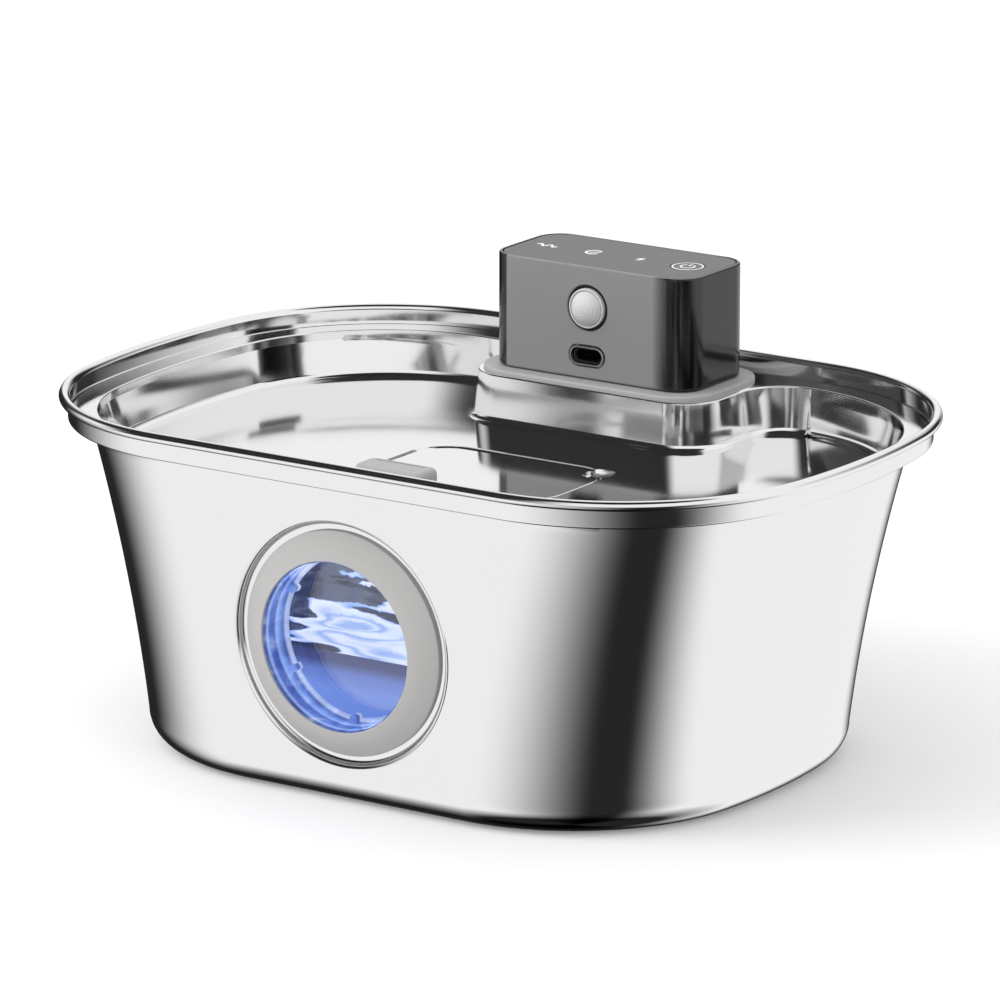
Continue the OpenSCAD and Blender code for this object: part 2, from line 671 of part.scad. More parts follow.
module filter_box()
    color("whitesmoke")
    difference() {
        union() {
            filter_block(filter_floor - filter_wall, filter_box_h + filter_wall, filter_wall);
            filter_block(filter_top - filter_wall, filter_wall, filter_wall + filter_flange_w);
            translate([0, riser_y, riser_socket_z])
                cylinder(r = riser_socket_r + filter_wall, h = riser_socket_l + filter_wall / 2);
        }
        filter_block(foam_z, filter_box_h, 0);
        filter_block(filter_floor, filter_box_h, -pad_ledge_w);
        translate([0, riser_y, riser_socket_z - over])
            cylinder(r = riser_socket_r, h = riser_socket_l + over);
        translate([0, riser_y, riser_socket_z])
            cylinder(r = riser_bore_r, h = riser_socket_l + filter_wall + over);
    }

module filter_foam() color("slategray") filter_block(foam_z, foam_t, -drop_gap);
module carbon_pad() color("black") filter_block(carbon_z, carbon_t, -drop_gap);

module hatch_plate()
    color("gainsboro")
    at_hatch(-hatch_sink - hatch_t) difference() {
        rounded_block(hatch_l, hatch_w, hatch_r, hatch_t);
        translate([notch_x, notch_y, -over]) cylinder(r = notch_r, h = hatch_t + 2 * over);
    }

module grip_tab()
    color("darkgray")
    difference() {
        at_grip(0, 0) soft_block(grip_l, grip_w, grip_corner_r, grip_h, grip_edge_r);
        difference() {
            at_grip(-grip_l / 2 - over, -grip_w / 2 - over) translate([0, 0, -over])
                cube([grip_l + 2 * over, grip_w + 2 * over, hatch_sink + lift_gap + over]);
            at_hatch(-hatch_sink - 2 * over) rounded_block(hatch_l, hatch_w, hatch_r, grip_h + 2 * over);
        }
        at_grip(-grip_l / 2 + grip_corner_r, grip_w / 2 - grip_foot) translate([0, 0, grip_h - grip_groove_w])
            cube([grip_l - 2 * grip_corner_r, grip_groove_w, grip_groove_w + over]);
    }

// Drive module
panel_z = module_top - panel_t;
button_x = module_w / 2 - button_inset;
lamp_x = module_w / 2 - lamp_inset;
switch_top = panel_z - lift_gap - button_flange_t - button_travel - lift_gap;
board_top = switch_top - switch_h;
board_z = board_top - board_t;
sensor_z = module_z + sensor_h;
socket_z = module_z + port_cz;
seal_z = module_z + module_wall;
flange_z = seal_z + stem_seal_t;
flange_top = flange_z + stem_flange_t;
screw_x = inner_w / 2 - screw_inset;
screw_y = inner_d / 2 - screw_inset;
front_board_w = 2 * (screw_x - screw_head_r - front_board_gap);
module at_screws(z)
    for (sx = [-1, 1], sy = [-1, 1])
        translate([sx * screw_x, module_y + sy * screw_y, z]) children();
module at_sensor(z) translate([0, module_front - z, sensor_z]) rotate([90, 0, 0]) children();
module at_socket(depth) translate([0, module_front + depth, socket_z]) rotate([-90, 0, 0]) children();
module module_block(z, h, g) in_module(z) rounded_block(module_w, module_d, module_r, h, g);

module module_housing()
    color("dimgray") {
        difference() {
            module_block(module_z, module_h, 0);
            module_block(seal_z, module_h, -module_wall);
            module_block(panel_z, panel_t + over, -panel_rim);
            stem_block(module_z - over, module_wall + 2 * over, drop_gap);
            at_screws(seal_z - screw_bite) cylinder(r = screw_r + shaft_gap, h = screw_bite + over);
            at_sensor(-module_wall - over) cylinder(r = sensor_hole_r, h = module_wall + 2 * over);
            at_socket(-over) slot_block(port_w, port_h, module_wall + 2 * over, drop_gap);
        }
        for (s = [-1, 1])
            in_module(board_z - rib_t) translate([s * (inner_w - rib_reach + module_wall) / 2, 0, rib_t / 2])
                cube([rib_reach + module_wall, rib_w, rib_t], center = true);
    }

module top_panel()
    color("gray")
    difference() {
        module_block(panel_z, panel_t, -panel_rim - drop_gap);
        in_module(panel_z - over) translate([button_x, 0, 0])
            cylinder(r = button_r + drop_gap, h = panel_t + 2 * over);
    }

module power_button()
    color("gray")
    in_module(panel_z - lift_gap - button_flange_t) translate([button_x, 0, 0]) {
        cylinder(r = button_r, h = panel_t + lift_gap + button_flange_t);
        cylinder(r = button_r + button_flange_w, h = button_flange_t);
    }

// Sensor behind its domed lens
dome_r = (pow(lens_r, 2) + pow(lens_crown, 2)) / (2 * lens_crown);
lens_flange_z = module_wall + drop_gap + lens_lip_t;
lens_flange_r = sensor_hole_r + lens_lip_t;
module lens_dome(inset)
    intersection() {
        translate([0, 0, lens_crown - dome_r]) sphere(r = dome_r - inset);
        cylinder(r = lens_r - inset / 2, h = lens_crown + over);
    }

module sensor_lens()
    color("white")
    at_sensor(0) difference() {
        union() {
            lens_dome(0);
            translate([0, 0, -lens_lip_t]) cylinder(r = lens_r + lens_lip_w, h = lens_lip_t);
            translate([0, 0, -lens_flange_z]) cylinder(r = lens_r, h = lens_flange_z);
            translate([0, 0, -lens_flange_z]) cylinder(r = lens_flange_r, h = lens_lip_t);
        }
        lens_dome(lens_wall);
        translate([0, 0, -lens_flange_z - over]) cylinder(r = lens_r - lens_wall, h = lens_flange_z + over);
    }

module sensor_seal()
    color("black")
    at_sensor(-module_wall)
        ring(sensor_hole_r - drop_gap, lens_r + drop_gap, module_wall - lens_lip_t - drop_gap);

module sensor_can()
    color("silver")
    at_sensor(-board_setback) cylinder(r = can_r, h = can_l);

module port_liner_ring()
    color("silver")
    difference() {
        at_socket(0) slot_block(port_w, port_h, module_wall);
        at_socket(-over) slot_block(port_w, port_h, module_wall + 2 * over, -port_liner);
    }

module port_gasket()
    color("black")
    difference() {
        at_socket(socket_setback)
            slot_block(port_w, port_h, module_wall - socket_setback, -port_liner - drop_gap);
        at_socket(-over) slot_block(socket_w, socket_h, module_wall + 2 * over, drop_gap);
    }

module charging_socket()
    color("silver")
    difference() {
        at_socket(socket_setback) slot_block(socket_w, socket_h, board_setback - socket_setback);
        at_socket(-over)
            slot_block(socket_w, socket_h, board_setback - socket_wall + over, -socket_wall);
    }

module socket_tongue()
    color("black")
    translate([-(socket_w - socket_h) / 2, module_front + 2 * socket_setback, socket_z - tongue_t / 2])
        cube([socket_w - socket_h, board_setback - socket_wall - 2 * socket_setback, tongue_t]);

module front_board()
    color("darkgreen")
    translate([-front_board_w / 2, module_front + board_setback, flange_top])
        cube([front_board_w, board_t, board_z - lift_gap - flange_top]);

module main_board()
    color("darkgreen")
    difference() {
        module_block(board_z, board_t, -module_wall - drop_gap);
        at_sensor(-lens_flange_z - drop_gap)
            cylinder(r = lens_flange_r + drop_gap, h = lens_flange_z + drop_gap);
    }

module button_switch()
    color("black")
    in_module(board_top) translate([button_x, 0, 0]) {
        translate([-switch_w / 2, -switch_w / 2, 0]) cube([switch_w, switch_w, switch_h - plunger_h]);
        cylinder(r = plunger_r, h = switch_h);
    }

module indicator_lamps()
    color("ivory")
    for (i = [0:lamp_count - 1])
        in_module(board_top) translate([-lamp_x + i * (lamp_x + button_x) / lamp_count, 0, 0])
            cylinder(r = lamp_r, h = panel_z - lift_gap - board_top);

// Battery lies across the module, on the stem's flange
cell_l = inner_w - 2 * cell_end_gap;
cell_y = module_y + inner_d / 2 - 2 * drop_gap - cradle_wall - cell_r;
cell_z = flange_top + cradle_wall + drop_gap + cell_r;
module along_cell() translate([-cell_l / 2, cell_y, cell_z]) rotate([0, 90, 0]) children();
module battery_cell()
    color("royalblue")
    along_cell() cylinder(r = cell_r, h = cell_l);

module battery_cradle()
    color("dimgray")
    difference() {
        translate([-cell_l / 2 + cradle_inset, cell_y - cell_r - drop_gap - cradle_wall, flange_top])
            cube([cell_l - 2 * cradle_inset, 2 * (cell_r + drop_gap + cradle_wall), cell_z - flange_top]);
        along_cell() cylinder(r = cell_r + drop_gap, h = cell_l);
    }

// Pump levels, up from the tank floor
strainer_z = tank_sheet + foot_h;
pump_z = strainer_z + strainer_h;
chamber_z = pump_z + pump_wall;
chamber_top = chamber_z + chamber_h;
stem_socket_z = chamber_top + pump_roof;
pump_top = stem_socket_z + stem_socket_depth;
pump_half_w = stem_w / 2 + lift_gap + pump_wall;
pump_half_d = stem_d / 2 + lift_gap + pump_wall;
pump_r = stem_r + lift_gap + pump_wall;
outlet_z = chamber_z + chamber_h / 2;
spigot_r = riser_bore_r - drop_gap;
module in_pump(z) translate([0, stem_y, z]) children();

// Stem, from the pump's socket up to its flange in the module
stem_z = stem_socket_z + lift_gap;
stem_floor_z = stem_z + stem_wall;
module stem()
    color("darkgray")
    difference() {
        union() {
            stem_block(stem_z, flange_top - stem_z, 0);
            module_block(flange_z, stem_flange_t, -module_wall - drop_gap);
        }
        stem_block(stem_floor_z, flange_top - stem_floor_z + over, -stem_wall);
        at_screws(flange_z - over) cylinder(r = screw_r + shaft_gap, h = stem_flange_t + 2 * over);
    }

module stem_seal()
    color("black")
    difference() {
        module_block(seal_z, stem_seal_t, -module_wall - drop_gap);
        stem_block(seal_z - over, stem_seal_t + 2 * over, drop_gap);
        at_screws(seal_z - over) cylinder(r = screw_r + shaft_gap, h = stem_seal_t + 2 * over);
    }

module stem_screws()
    color("silver")
    at_screws(0) {
        translate([0, 0, seal_z - screw_bite]) cylinder(r = screw_r, h = flange_top - seal_z + screw_bite);
        translate([0, 0, flange_top]) cylinder(r = screw_head_r, h = screw_head_h);
    }

// Motor and the magnets that it turns just above the stem's floor
magnet_z = stem_floor_z + magnet_gap;
yoke_z = magnet_z + magnet_t;
nose_z = yoke_z + yoke_t + lift_gap;
motor_z = nose_z + motor_nose_h;
motor_top = motor_z + motor_l;
shaft_top = motor_z + motor_l / 2;
lead_y = module_front + board_setback + board_t + drop_gap + lead_r;

module drive_motor()
    color("silver")
    difference() {
        union() {
            in_pump(nose_z) cylinder(r = motor_nose_r, h = motor_nose_h + motor_l / 2);
            in_pump(motor_z) cylinder(r = motor_r, h = motor_l);
        }
        in_pump(nose_z - over) cylinder(r = shaft_r + shaft_gap, h = shaft_top - nose_z + lift_gap + over);
    }

module motor_clamp()
    color("white")
    difference() {
        stem_block(motor_z, clamp_h, -stem_wall - drop_gap);
        in_pump(motor_z - over) cylinder(r = motor_r + drop_gap, h = clamp_h + 2 * over);
        in_pump(motor_z - over) translate([-clamp_slot_w / 2, -stem_d / 2, 0])
            cube([clamp_slot_w, stem_d, clamp_h + 2 * over]);
    }

module motor_leads()
    color("crimson")
    for (s = [-1, 1])
        translate([s * lead_pitch / 2, lead_y, motor_top]) cylinder(r = lead_r, h = board_z - motor_top);

module motor_shaft()
    color("silver")
    in_pump(yoke_z) cylinder(r = shaft_r, h = shaft_top - yoke_z);

module magnet_holder()
    color("white")
    in_pump(yoke_z) ring(yoke_r, shaft_r + shaft_gap, yoke_t);

module drive_magnets()
    color("gray")
    in_pump(magnet_z)
        for (i = [0:magnet_count - 1])
            rotate([0, 0, 360 * i / magnet_count])
                translate([yoke_r - magnet_r - magnet_gap, 0, 0]) cylinder(r = magnet_r, h = magnet_t);

// Pump on the tank floor
foot_dx = pump_half_w - pump_r;
foot_dy = min(pump_half_d - pump_wall - foot_r, base_line[1] - base_fillet_r - foot_r - drop_gap - stem_y);
boss_r = pin_r + pump_wall / 2;
slot_pitch = 2 * foot_dx / slot_count;
slot_h = (strainer_h - pump_wall) / 2;
strainer_slot_z = strainer_z + (pump_wall + strainer_h - slot_h) / 2;
hub_z = chamber_z + lift_gap;
ring_top = chamber_top - impeller_gap;
disc_z = ring_top - ring_magnet_t - disc_t;

module pump_feet()
    color("dimgray")
    for (sx = [-1, 1], sy = [-1, 1])
        in_pump(tank_sheet) translate([sx * foot_dx, sy * foot_dy, 0]) cylinder(r = foot_r, h = foot_h);

module pump_strainer()
    color("gray")
    difference() {
        union() {
            difference() {
                stem_block(strainer_z, strainer_h, lift_gap + pump_wall);
                stem_block(strainer_z + pump_wall, strainer_h, lift_gap);
                for (i = [0:slot_count - 1])
                    in_pump(strainer_slot_z)
                        translate([(i + 1 / 2) * slot_pitch - foot_dx - slot_w / 2, -pump_half_d - over, 0])
                            cube([slot_w, 2 * (pump_half_d + over), slot_h]);
            }
            in_pump(strainer_z + pump_wall / 2)
                cylinder(r = boss_r, h = chamber_z - strainer_z - pump_wall / 2);
        }
        in_pump(strainer_z + pump_wall) cylinder(r = pin_r + shaft_gap, h = strainer_h + pump_wall + over);
    }

module pump_housing()
    color("gray")
    difference() {
        union() {
            stem_block(pump_z, pump_top - pump_z, lift_gap + pump_wall);
            in_pump(outlet_z) rotate([90, 0, 0]) translate([0, 0, pump_half_d - pump_wall / 2])
                cylinder(r = spigot_r, h = spigot_l + pump_wall / 2);
        }
        stem_block(stem_socket_z, stem_socket_depth + over, lift_gap);
        in_pump(chamber_z) cylinder(r = chamber_r, h = chamber_h);
        in_pump(pump_z - over) cylinder(r = inlet_r, h = pump_wall + 2 * over);
        in_pump(outlet_z) rotate([90, 0, 0])
            cylinder(r = spigot_r - spigot_wall, h = pump_half_d + spigot_l + over);
        difference() {
            stem_block(pump_z - over, chamber_top - pump_z + over, lift_gap);
            in_pump(pump_z - 2 * over) translate([-chamber_r - pump_wall, -pump_half_d, 0])
                cube([2 * (chamber_r + pump_wall), 2 * pump_half_d, chamber_top - pump_z + 3 * over]);
        }
    }

module impeller_pin()
    color("white")
    in_pump(strainer_z + pump_wall) cylinder(r = pin_r, h = chamber_top - lift_gap - strainer_z - pump_wall);

module impeller()
    color("steelblue")
    difference() {
        union() {
            in_pump(hub_z) cylinder(r = hub_r, h = ring_top - hub_z);
            in_pump(disc_z) cylinder(r = impeller_r, h = disc_t);
            for (i = [0:blade_count - 1])
                in_pump(disc_z - blade_h) rotate([0, 0, 360 * i / blade_count])
                    translate([(hub_r + pin_r) / 2, -blade_t / 2, 0])
                        cube([impeller_r - (hub_r + pin_r + blade_t) / 2, blade_t, blade_h + disc_t / 2]);
        }
        in_pump(hub_z - over) cylinder(r = pin_r + shaft_gap, h = ring_top - hub_z + 2 * over);
    }

module impeller_magnet()
    color("dimgray")
    in_pump(disc_z + disc_t) ring(impeller_r, hub_r + shaft_gap, ring_magnet_t);

// Riser pipe: from the pump's spigot forward, then up into the filter box
riser_start_y = stem_y - pump_half_d - drop_gap;
riser_bend_y = riser_y + riser_bend_r;
riser_top = riser_socket_z + riser_socket_l - lift_gap;
module riser_run(r, run_over) {
    translate([0, riser_start_y + run_over, outlet_z]) rotate([90, 0, 0])
        cylinder(r = r, h = riser_start_y + run_over - riser_bend_y);
    translate([0, riser_bend_y, outlet_z + riser_bend_r]) rotate([90, 0, -90]) rotate([0, 0, -90])
        rotate_extrude(angle = 90) translate([riser_bend_r, 0]) circle(r = r);
    translate([0, riser_y, outlet_z + riser_bend_r])
        cylinder(r = r, h = riser_top + run_over - outlet_z - riser_bend_r);
}
module riser_pipe()
    color("lightgray")
    difference() {
        riser_run(riser_r, 0);
        riser_run(riser_bore_r, over);
    }

tank_shell();
window_bezel();
window_sleeve();
window_gasket();
window_lock_ring();
pump_feet();
pump_strainer();
pump_housing();
riser_pipe();
impeller_pin();
impeller();
impeller_magnet();
tray();
collar_gasket();
filter_gasket();
filter_box();
filter_foam();
carbon_pad();
hatch_plate();
grip_tab();
module_housing();
top_panel();
power_button();
sensor_lens();
sensor_seal();
sensor_can();
port_liner_ring();
port_gasket();
charging_socket();
socket_tongue();
front_board();
main_board();
button_switch();
indicator_lamps();
battery_cell();
battery_cradle();
stem();
stem_seal();
stem_screws();
drive_motor();
motor_clamp();
motor_leads();
motor_shaft();
magnet_holder();
drive_magnets();
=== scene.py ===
"""Pet water fountain: a flared steel tank with a porthole, a lift-out drinking tray, a filter hatch
and a drive module, dressed over its CAD frame.

Sizes in the drawing functions are millimetres, and a mesh is scaled to metres when it is made.
+Z is up, the porthole looks towards -Y and the origin is the centre of the tank's underside.
"""

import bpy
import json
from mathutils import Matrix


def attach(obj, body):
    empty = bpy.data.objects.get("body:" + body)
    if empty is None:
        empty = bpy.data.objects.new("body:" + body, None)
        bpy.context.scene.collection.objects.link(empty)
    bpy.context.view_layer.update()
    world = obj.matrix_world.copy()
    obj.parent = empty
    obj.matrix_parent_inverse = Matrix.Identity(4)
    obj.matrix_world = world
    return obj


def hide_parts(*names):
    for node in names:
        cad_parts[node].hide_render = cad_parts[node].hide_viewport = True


bl_info = {
    "name": "Pet Water Fountain",
    "version": (1, 0, 0),
    "blender": (4, 5, 0),
    "location": "View3D > Sidebar > Fountain",
    "description": "Dresses a steel pet water fountain over its CAD frame",
    "category": "Add Mesh",
}

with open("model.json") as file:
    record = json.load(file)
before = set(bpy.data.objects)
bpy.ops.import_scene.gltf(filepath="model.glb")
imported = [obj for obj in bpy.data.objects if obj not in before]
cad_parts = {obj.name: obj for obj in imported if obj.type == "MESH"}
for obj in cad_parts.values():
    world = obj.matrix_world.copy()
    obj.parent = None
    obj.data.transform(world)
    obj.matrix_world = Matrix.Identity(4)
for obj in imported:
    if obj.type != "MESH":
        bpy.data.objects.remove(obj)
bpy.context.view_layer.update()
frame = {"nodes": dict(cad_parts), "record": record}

import json
import math

import bpy
from bpy.props import FloatProperty, FloatVectorProperty, PointerProperty
from mathutils import Matrix, Vector, noise

MM = 0.001

# Tank: an outline is [half length, half width, corner radius, end radius]
RIM_LINE = [130.0, 93.0, 68.0, 246.0]
FOOT_LINE = [104.8, 82.4, 64.7, 207.0]
FOOT_R = 10.0
SHEET = 0.8
BEAD_R = 1.6
BEAD_Z = 106.6
BAND_Z = 99.3
SHELF_Z = BAND_Z + SHEET
BAND_INSET = 1.1
STEP_INSET = 7.9
FLARE_SHARE = 0.4
STEP_ROLL, BAND_ROLL, SHELF_ROLL, EDGE_ROLL = 1.0, 0.8, 0.5, 0.4

# Porthole
PORT_Z = 50.2
DISH_R = 38.4
DISH_DEPTH = 2.0
DISH_FLOOR_R = 34.75
DISH_ROLL = 1.18
DISH_PROUD = 0.15
WINDOW_R = 25.8
SLEEVE_WALL = 1.8
SLEEVE_DEPTH = 10.5
WINDOW_RISE = 3.5
SLEEVE_FLANGE_R = 32.0
FLANGE_T = 0.8
LUG_COUNT = 6
LUG = 2.2
FIT = 0.15

# Tray
LEDGE_Z = 102.1
HEM_H = 1.7
FLOOR_Z = 87.5
BASIN_R = 1.8
BASIN_INSET = 2.3
TRAY_INSET = 2.2
PLATFORM_LEFT, PLATFORM_RIGHT = 42.2, 44.5
PLATFORM_FRONT_Y = 42.5
PLATFORM_R = 13.0
PLATFORM_DRAFT = 6.0
BLEND_R = 15.0
DRAINS, DRAIN_PITCH, DRAIN_Y = 5, 7.0, -37.0
DRAIN = (9.0, 2.4)

# Hatch
HATCH = (2.6, -10.5)
HATCH_L, HATCH_W, HATCH_R = 65.0, 41.0, 12.0
HATCH_GAP = 0.4
HATCH_SINK = 0.45
REBATE_DEPTH = 1.3
REBATE_W = 3.0
REBATE_ROLL = 1.6
NOTCH_R = 5.0
NOTCH_OFF = 12.6 * math.sin(math.pi / 4) - HATCH_R
NOTCH = (HATCH_L / 2 + NOTCH_OFF, HATCH_W / 2 + NOTCH_OFF)
GRIP_L, GRIP_W, GRIP_H = 25.0, 11.0, 5.0
GRIP_DX, GRIP_Y = -17.0, -23.0
GROOVE = (18.0, 0.9, 0.44)
GROOVE_DY, GROOVE_DEPTH = 2.6, 0.8

# Drive module
MODULE_W, MODULE_D, MODULE_R = 73.4, 36.2, 9.0
MODULE_Y = 66.8
MODULE_Z, MODULE_TOP = 103.7, 139.1
MODULE_FRONT = MODULE_Y - MODULE_D / 2
MODULE_WALL = 2.0
PANEL_T, PANEL_RIM, PANEL_GAP = 2.0, 1.0, 0.35
BUTTON = (25.0, 5.4)
SENSOR_Z, SENSOR_R, LENS_R, LENS_CROWN = 126.1, 7.3, 6.0, 4.0
SOCKET_Z = 111.0
PORT_W, PORT_H, LINER = 13.2, 6.9, 0.9
STEM = (54.0, 22.0, 8.0)
STEM_Y = 63.0
STEM_ROOM = 0.6
COLLAR_RIM, COLLAR_T = 4.8, 1.3
INK = (MODULE_TOP - 0.06, MODULE_TOP - 0.01)
LAMPS_X = (-26.6, -9.4, 7.8)

# Pump and filter pads: a pad's heights are its bottom and its top
PUMP = (62.0, 36.0, 8.0)
PUMP_Y, PUMP_TOP = 59.5, 31.0
PAD = (58.6, 34.6, 9.0)
PAD_DRAW, PAD_LUMP, PAD_GRAIN = 0.9, 0.25, 4.0
PADS = {"foam_pad": ("filter_foam", 66.45, 72.35), "carbon_cushion": ("carbon_pad", 72.55, 80.55)}


def linear(hex_colour):
    """sRGB hex colour as linear RGBA."""
    parts = [int(hex_colour[i:i + 2], 16) / 255 for i in (1, 3, 5)]
    return tuple(c / 12.92 if c <= 0.04045 else ((c + 0.055) / 1.055) ** 2.4 for c in parts) + (1.0,)


# Outlines and profiles
def grown(outline, by):
    return [v + by for v in outline]


def wall_share(z):
    return min(1.0, max(0.0, (z - FOOT_R) / (BAND_Z - FOOT_R)))


def wall_line(z):
    """Outline of the tank's outer wall at height z."""
    share = wall_share(z)
    share = (1 - FLARE_SHARE) * share + FLARE_SHARE * share * share
    top = grown(RIM_LINE, -STEP_INSET)
    return [a + (b - a) * share for a, b in zip(FOOT_LINE, top)]


def arc(x, y, r, start, turn, count):
    """Points on an arc, angles in degrees."""
    angles = [math.radians(start + turn * i / count) for i in range(count + 1)]
    return [(x + r * math.cos(t), y + r * math.sin(t)) for t in angles]


def quarter(outline, ends=10, corners=30):
    half_l, half_w, corner_r, end_r = outline
    turn = math.asin((half_w - corner_r) / (end_r - corner_r))
    centre = half_l - end_r + math.sqrt((end_r - corner_r) ** 2 - (half_w - corner_r) ** 2)
    turn = math.degrees(turn)
    return (arc(half_l - end_r, 0, end_r, 0, turn, ends)
            + arc(centre, half_w - corner_r, corner_r, turn, 90 - turn, corners)[1:])


def flipped(points, sx, sy):
    return [(x * sx, y * sy) for x, y in points]


def oval(outline):
    """Closed loop of the tank's outline, counter-clockwise from +X."""
    q = quarter(outline)
    return q + flipped(q, -1, 1)[::-1] + flipped(q, -1, -1)[1:] + flipped(q, 1, -1)[::-1][1:-1]


PLATFORM_STEPS = 12


def basin_loop(z, inset):
    """Closed loop of the basin's wall, with the platform's outline at the back; inset makes it smaller."""
    q = quarter(grown(wall_line(z), -BASIN_INSET - inset))
    back = wall_line(z)[1] - BASIN_INSET
    inset += (LEDGE_Z - z) * math.tan(math.radians(PLATFORM_DRAFT))

    def side(half_w):
        return (arc(half_w + BLEND_R, back - BLEND_R, BLEND_R - inset, 90, 90, PLATFORM_STEPS)
                + arc(half_w - PLATFORM_R, PLATFORM_FRONT_Y + PLATFORM_R, PLATFORM_R + inset, 0, -90,
                      PLATFORM_STEPS))
    return (q + side(PLATFORM_RIGHT) + flipped(side(PLATFORM_LEFT), -1, 1)[::-1] + flipped(q, -1, 1)[::-1]
            + flipped(q, -1, -1)[1:] + flipped(q, 1, -1)[::-1][1:-1])


def foot_profile(radius, sweep_r=5.0, sweep=12.0):
    """(inset, height) points from a basin's wall down to its floor: a tight round that ends in a long
    shallow sweep."""
    low = arc(0, sweep_r, sweep_r, -90, sweep, 8)
    x0, z0 = low[-1]
    turn = math.radians(sweep)
    high = arc(x0 - radius * math.sin(turn), z0 + radius * math.cos(turn), radius, sweep - 90, 90 - sweep, 10)
    return [(high[-1][0] - x, z) for x, z in (low + high[1:])[::-1]]


def edge_loop(outline):
    """Outline of the tray's edge with the same count of points as the basin's loop."""
    q = quarter(outline)
    count = 4 * (PLATFORM_STEPS + 1)
    x0 = q[-1][0]
    step = 2 * x0 / (count + 1)
    back = [(x0 - step * (i + 1), q[-1][1]) for i in range(count)]
    return (q + back + flipped(q, -1, 1)[::-1] + flipped(q, -1, -1)[1:] + flipped(q, 1, -1)[::-1][1:-1])


def rounded(w, d, r, grow=0.0, centre=(0.0, 0.0), steps=10):
    x, y, r = w / 2 - r, d / 2 - r, r + grow
    loop = (arc(x, y, r, 0, 90, steps) + arc(-x, y, r, 90, 90, steps)
            + arc(-x, -y, r, 180, 90, steps) + arc(x, -y, r, 270, 90, steps))
    return [(px + centre[0], py + centre[1]) for px, py in loop]


def slot(w, h, grow=0.0, steps=16):
    x, r = (w - h) / 2, h / 2 + grow
    return arc(x, 0, r, -90, 180, steps) + arc(-x, 0, r, 90, 180, steps)


def stroke(path, width):
    """Closed outline round a drawn line of that width."""
    sides = []
    for i, (x, y) in enumerate(path):
        (x0, y0), (x1, y1) = path[max(i - 1, 0)], path[min(i + 1, len(path) - 1)]
        run = math.hypot(x1 - x0, y1 - y0)
        sides.append(((x1 - x0) / run * width / 2, (y1 - y0) / run * width / 2))
    right = [(x + v, y - u) for (x, y), (u, v) in zip(path, sides)]
    left = [(x - v, y + u) for (x, y), (u, v) in zip(path, sides)]
    return right + left[::-1]


def lifted(loop, z):
    return [(x, y, z) for x, y in loop]


# Meshes
def stack_mesh(name, rings):
    """Closed mesh through rings with equal counts of points, first and last ring capped."""
    n = len(rings[0])
    verts = [Vector(p) * MM for ring in rings for p in ring]
    faces = [list(range(n))[::-1]]
    for k in range(len(rings) - 1):
        for i in range(n):
            j = (i + 1) % n
            faces.append([k * n + i, k * n + j, (k + 1) * n + j, (k + 1) * n + i])
    faces.append([(len(rings) - 1) * n + i for i in range(n)])
    mesh = bpy.data.meshes.new(name)
    mesh.from_pydata(verts, [], faces)
    mesh.validate()
    return mesh


def loop_mesh(name, rings):
    """Closed mesh whose last ring meets its first, such as a ring with a hole through it."""
    n, m = len(rings[0]), len(rings)
    verts = [Vector(p) * MM for ring in rings for p in ring]
    faces = [[k * n + i, k * n + (i + 1) % n, (k + 1) % m * n + (i + 1) % n, (k + 1) % m * n + i]
             for k in range(m) for i in range(n)]
    mesh = bpy.data.meshes.new(name)
    mesh.from_pydata(verts, [], faces)
    mesh.validate()
    return mesh


def lathe(name, profile, closed=True, steps=128):
    """Profile of (radius, height) points turned round Z. A closed one is a ring; another starts and ends
    near the axis."""
    rings = []
    for radius, height in profile:
        angles = [2 * math.pi * i / steps for i in range(steps)]
        rings.append([(radius * math.cos(t), radius * math.sin(t), height) for t in angles])
    return loop_mesh(name, rings) if closed else stack_mesh(name, rings)


def block_mesh(name, loop_at, z0, z1, top=0.0, foot=0.0, steps=6):
    """Upright block with rounded top and foot edges. loop_at(grow) gives its outline."""
    rings = [lifted(loop_at(-foot * (1 - math.sin(t))), z0 + foot * (1 - math.cos(t)))
             for t in [math.pi / 2 * k / steps for k in range(steps + 1)]] if foot else [lifted(loop_at(0), z0)]
    if top:
        rings += [lifted(loop_at(-top * (1 - math.cos(t))), z1 - top * (1 - math.sin(t)))
                  for t in [math.pi / 2 * k / steps for k in range(steps + 1)]]
    else:
        rings.append(lifted(loop_at(0), z1))
    return stack_mesh(name, rings)


def piece(name, mesh, place=None):
    """Object of that mesh, moved into place."""
    if place is not None:
        mesh.transform(place)
    return placed(name, mesh)


def placed(name, data):
    obj = bpy.data.objects.new(name, data)
    bpy.context.scene.collection.objects.link(obj)
    return obj


def at(x, y, z):
    return Matrix.Translation(Vector((x, y, z)) * MM)


def rod(name, radius, z0, z1, steps=128):
    return lathe(name, [(radius, z0), (radius, z1)], False, steps)


def stem_block(room, z0, z1):
    """Block as the module's stem, larger by room all round."""
    return block_mesh("stem_block", lambda g: rounded(*STEM, room + g, (0, STEM_Y)), z0, z1)


def combined(obj, mesh, place=None, operation="DIFFERENCE"):
    """obj with that mesh cut out of it, or joined to it where the operation is UNION."""
    tool = piece("tool", mesh, place)
    step = obj.modifiers.new(operation, "BOOLEAN")
    step.object, step.operation, step.solver = tool, operation, "EXACT"
    applied(obj)
    bpy.data.objects.remove(tool)
    return obj


def applied(obj):
    """Applies obj's modifiers to its mesh."""
    graph = bpy.context.evaluated_depsgraph_get()
    mesh = bpy.data.meshes.new_from_object(obj.evaluated_get(graph), preserve_all_data_layers=True,
                                           depsgraph=graph)
    if not mesh.polygons:
        raise RuntimeError(obj.name + " came out empty")
    obj.modifiers.clear()
    old, obj.data = obj.data, mesh
    bpy.data.meshes.remove(old)
    return obj


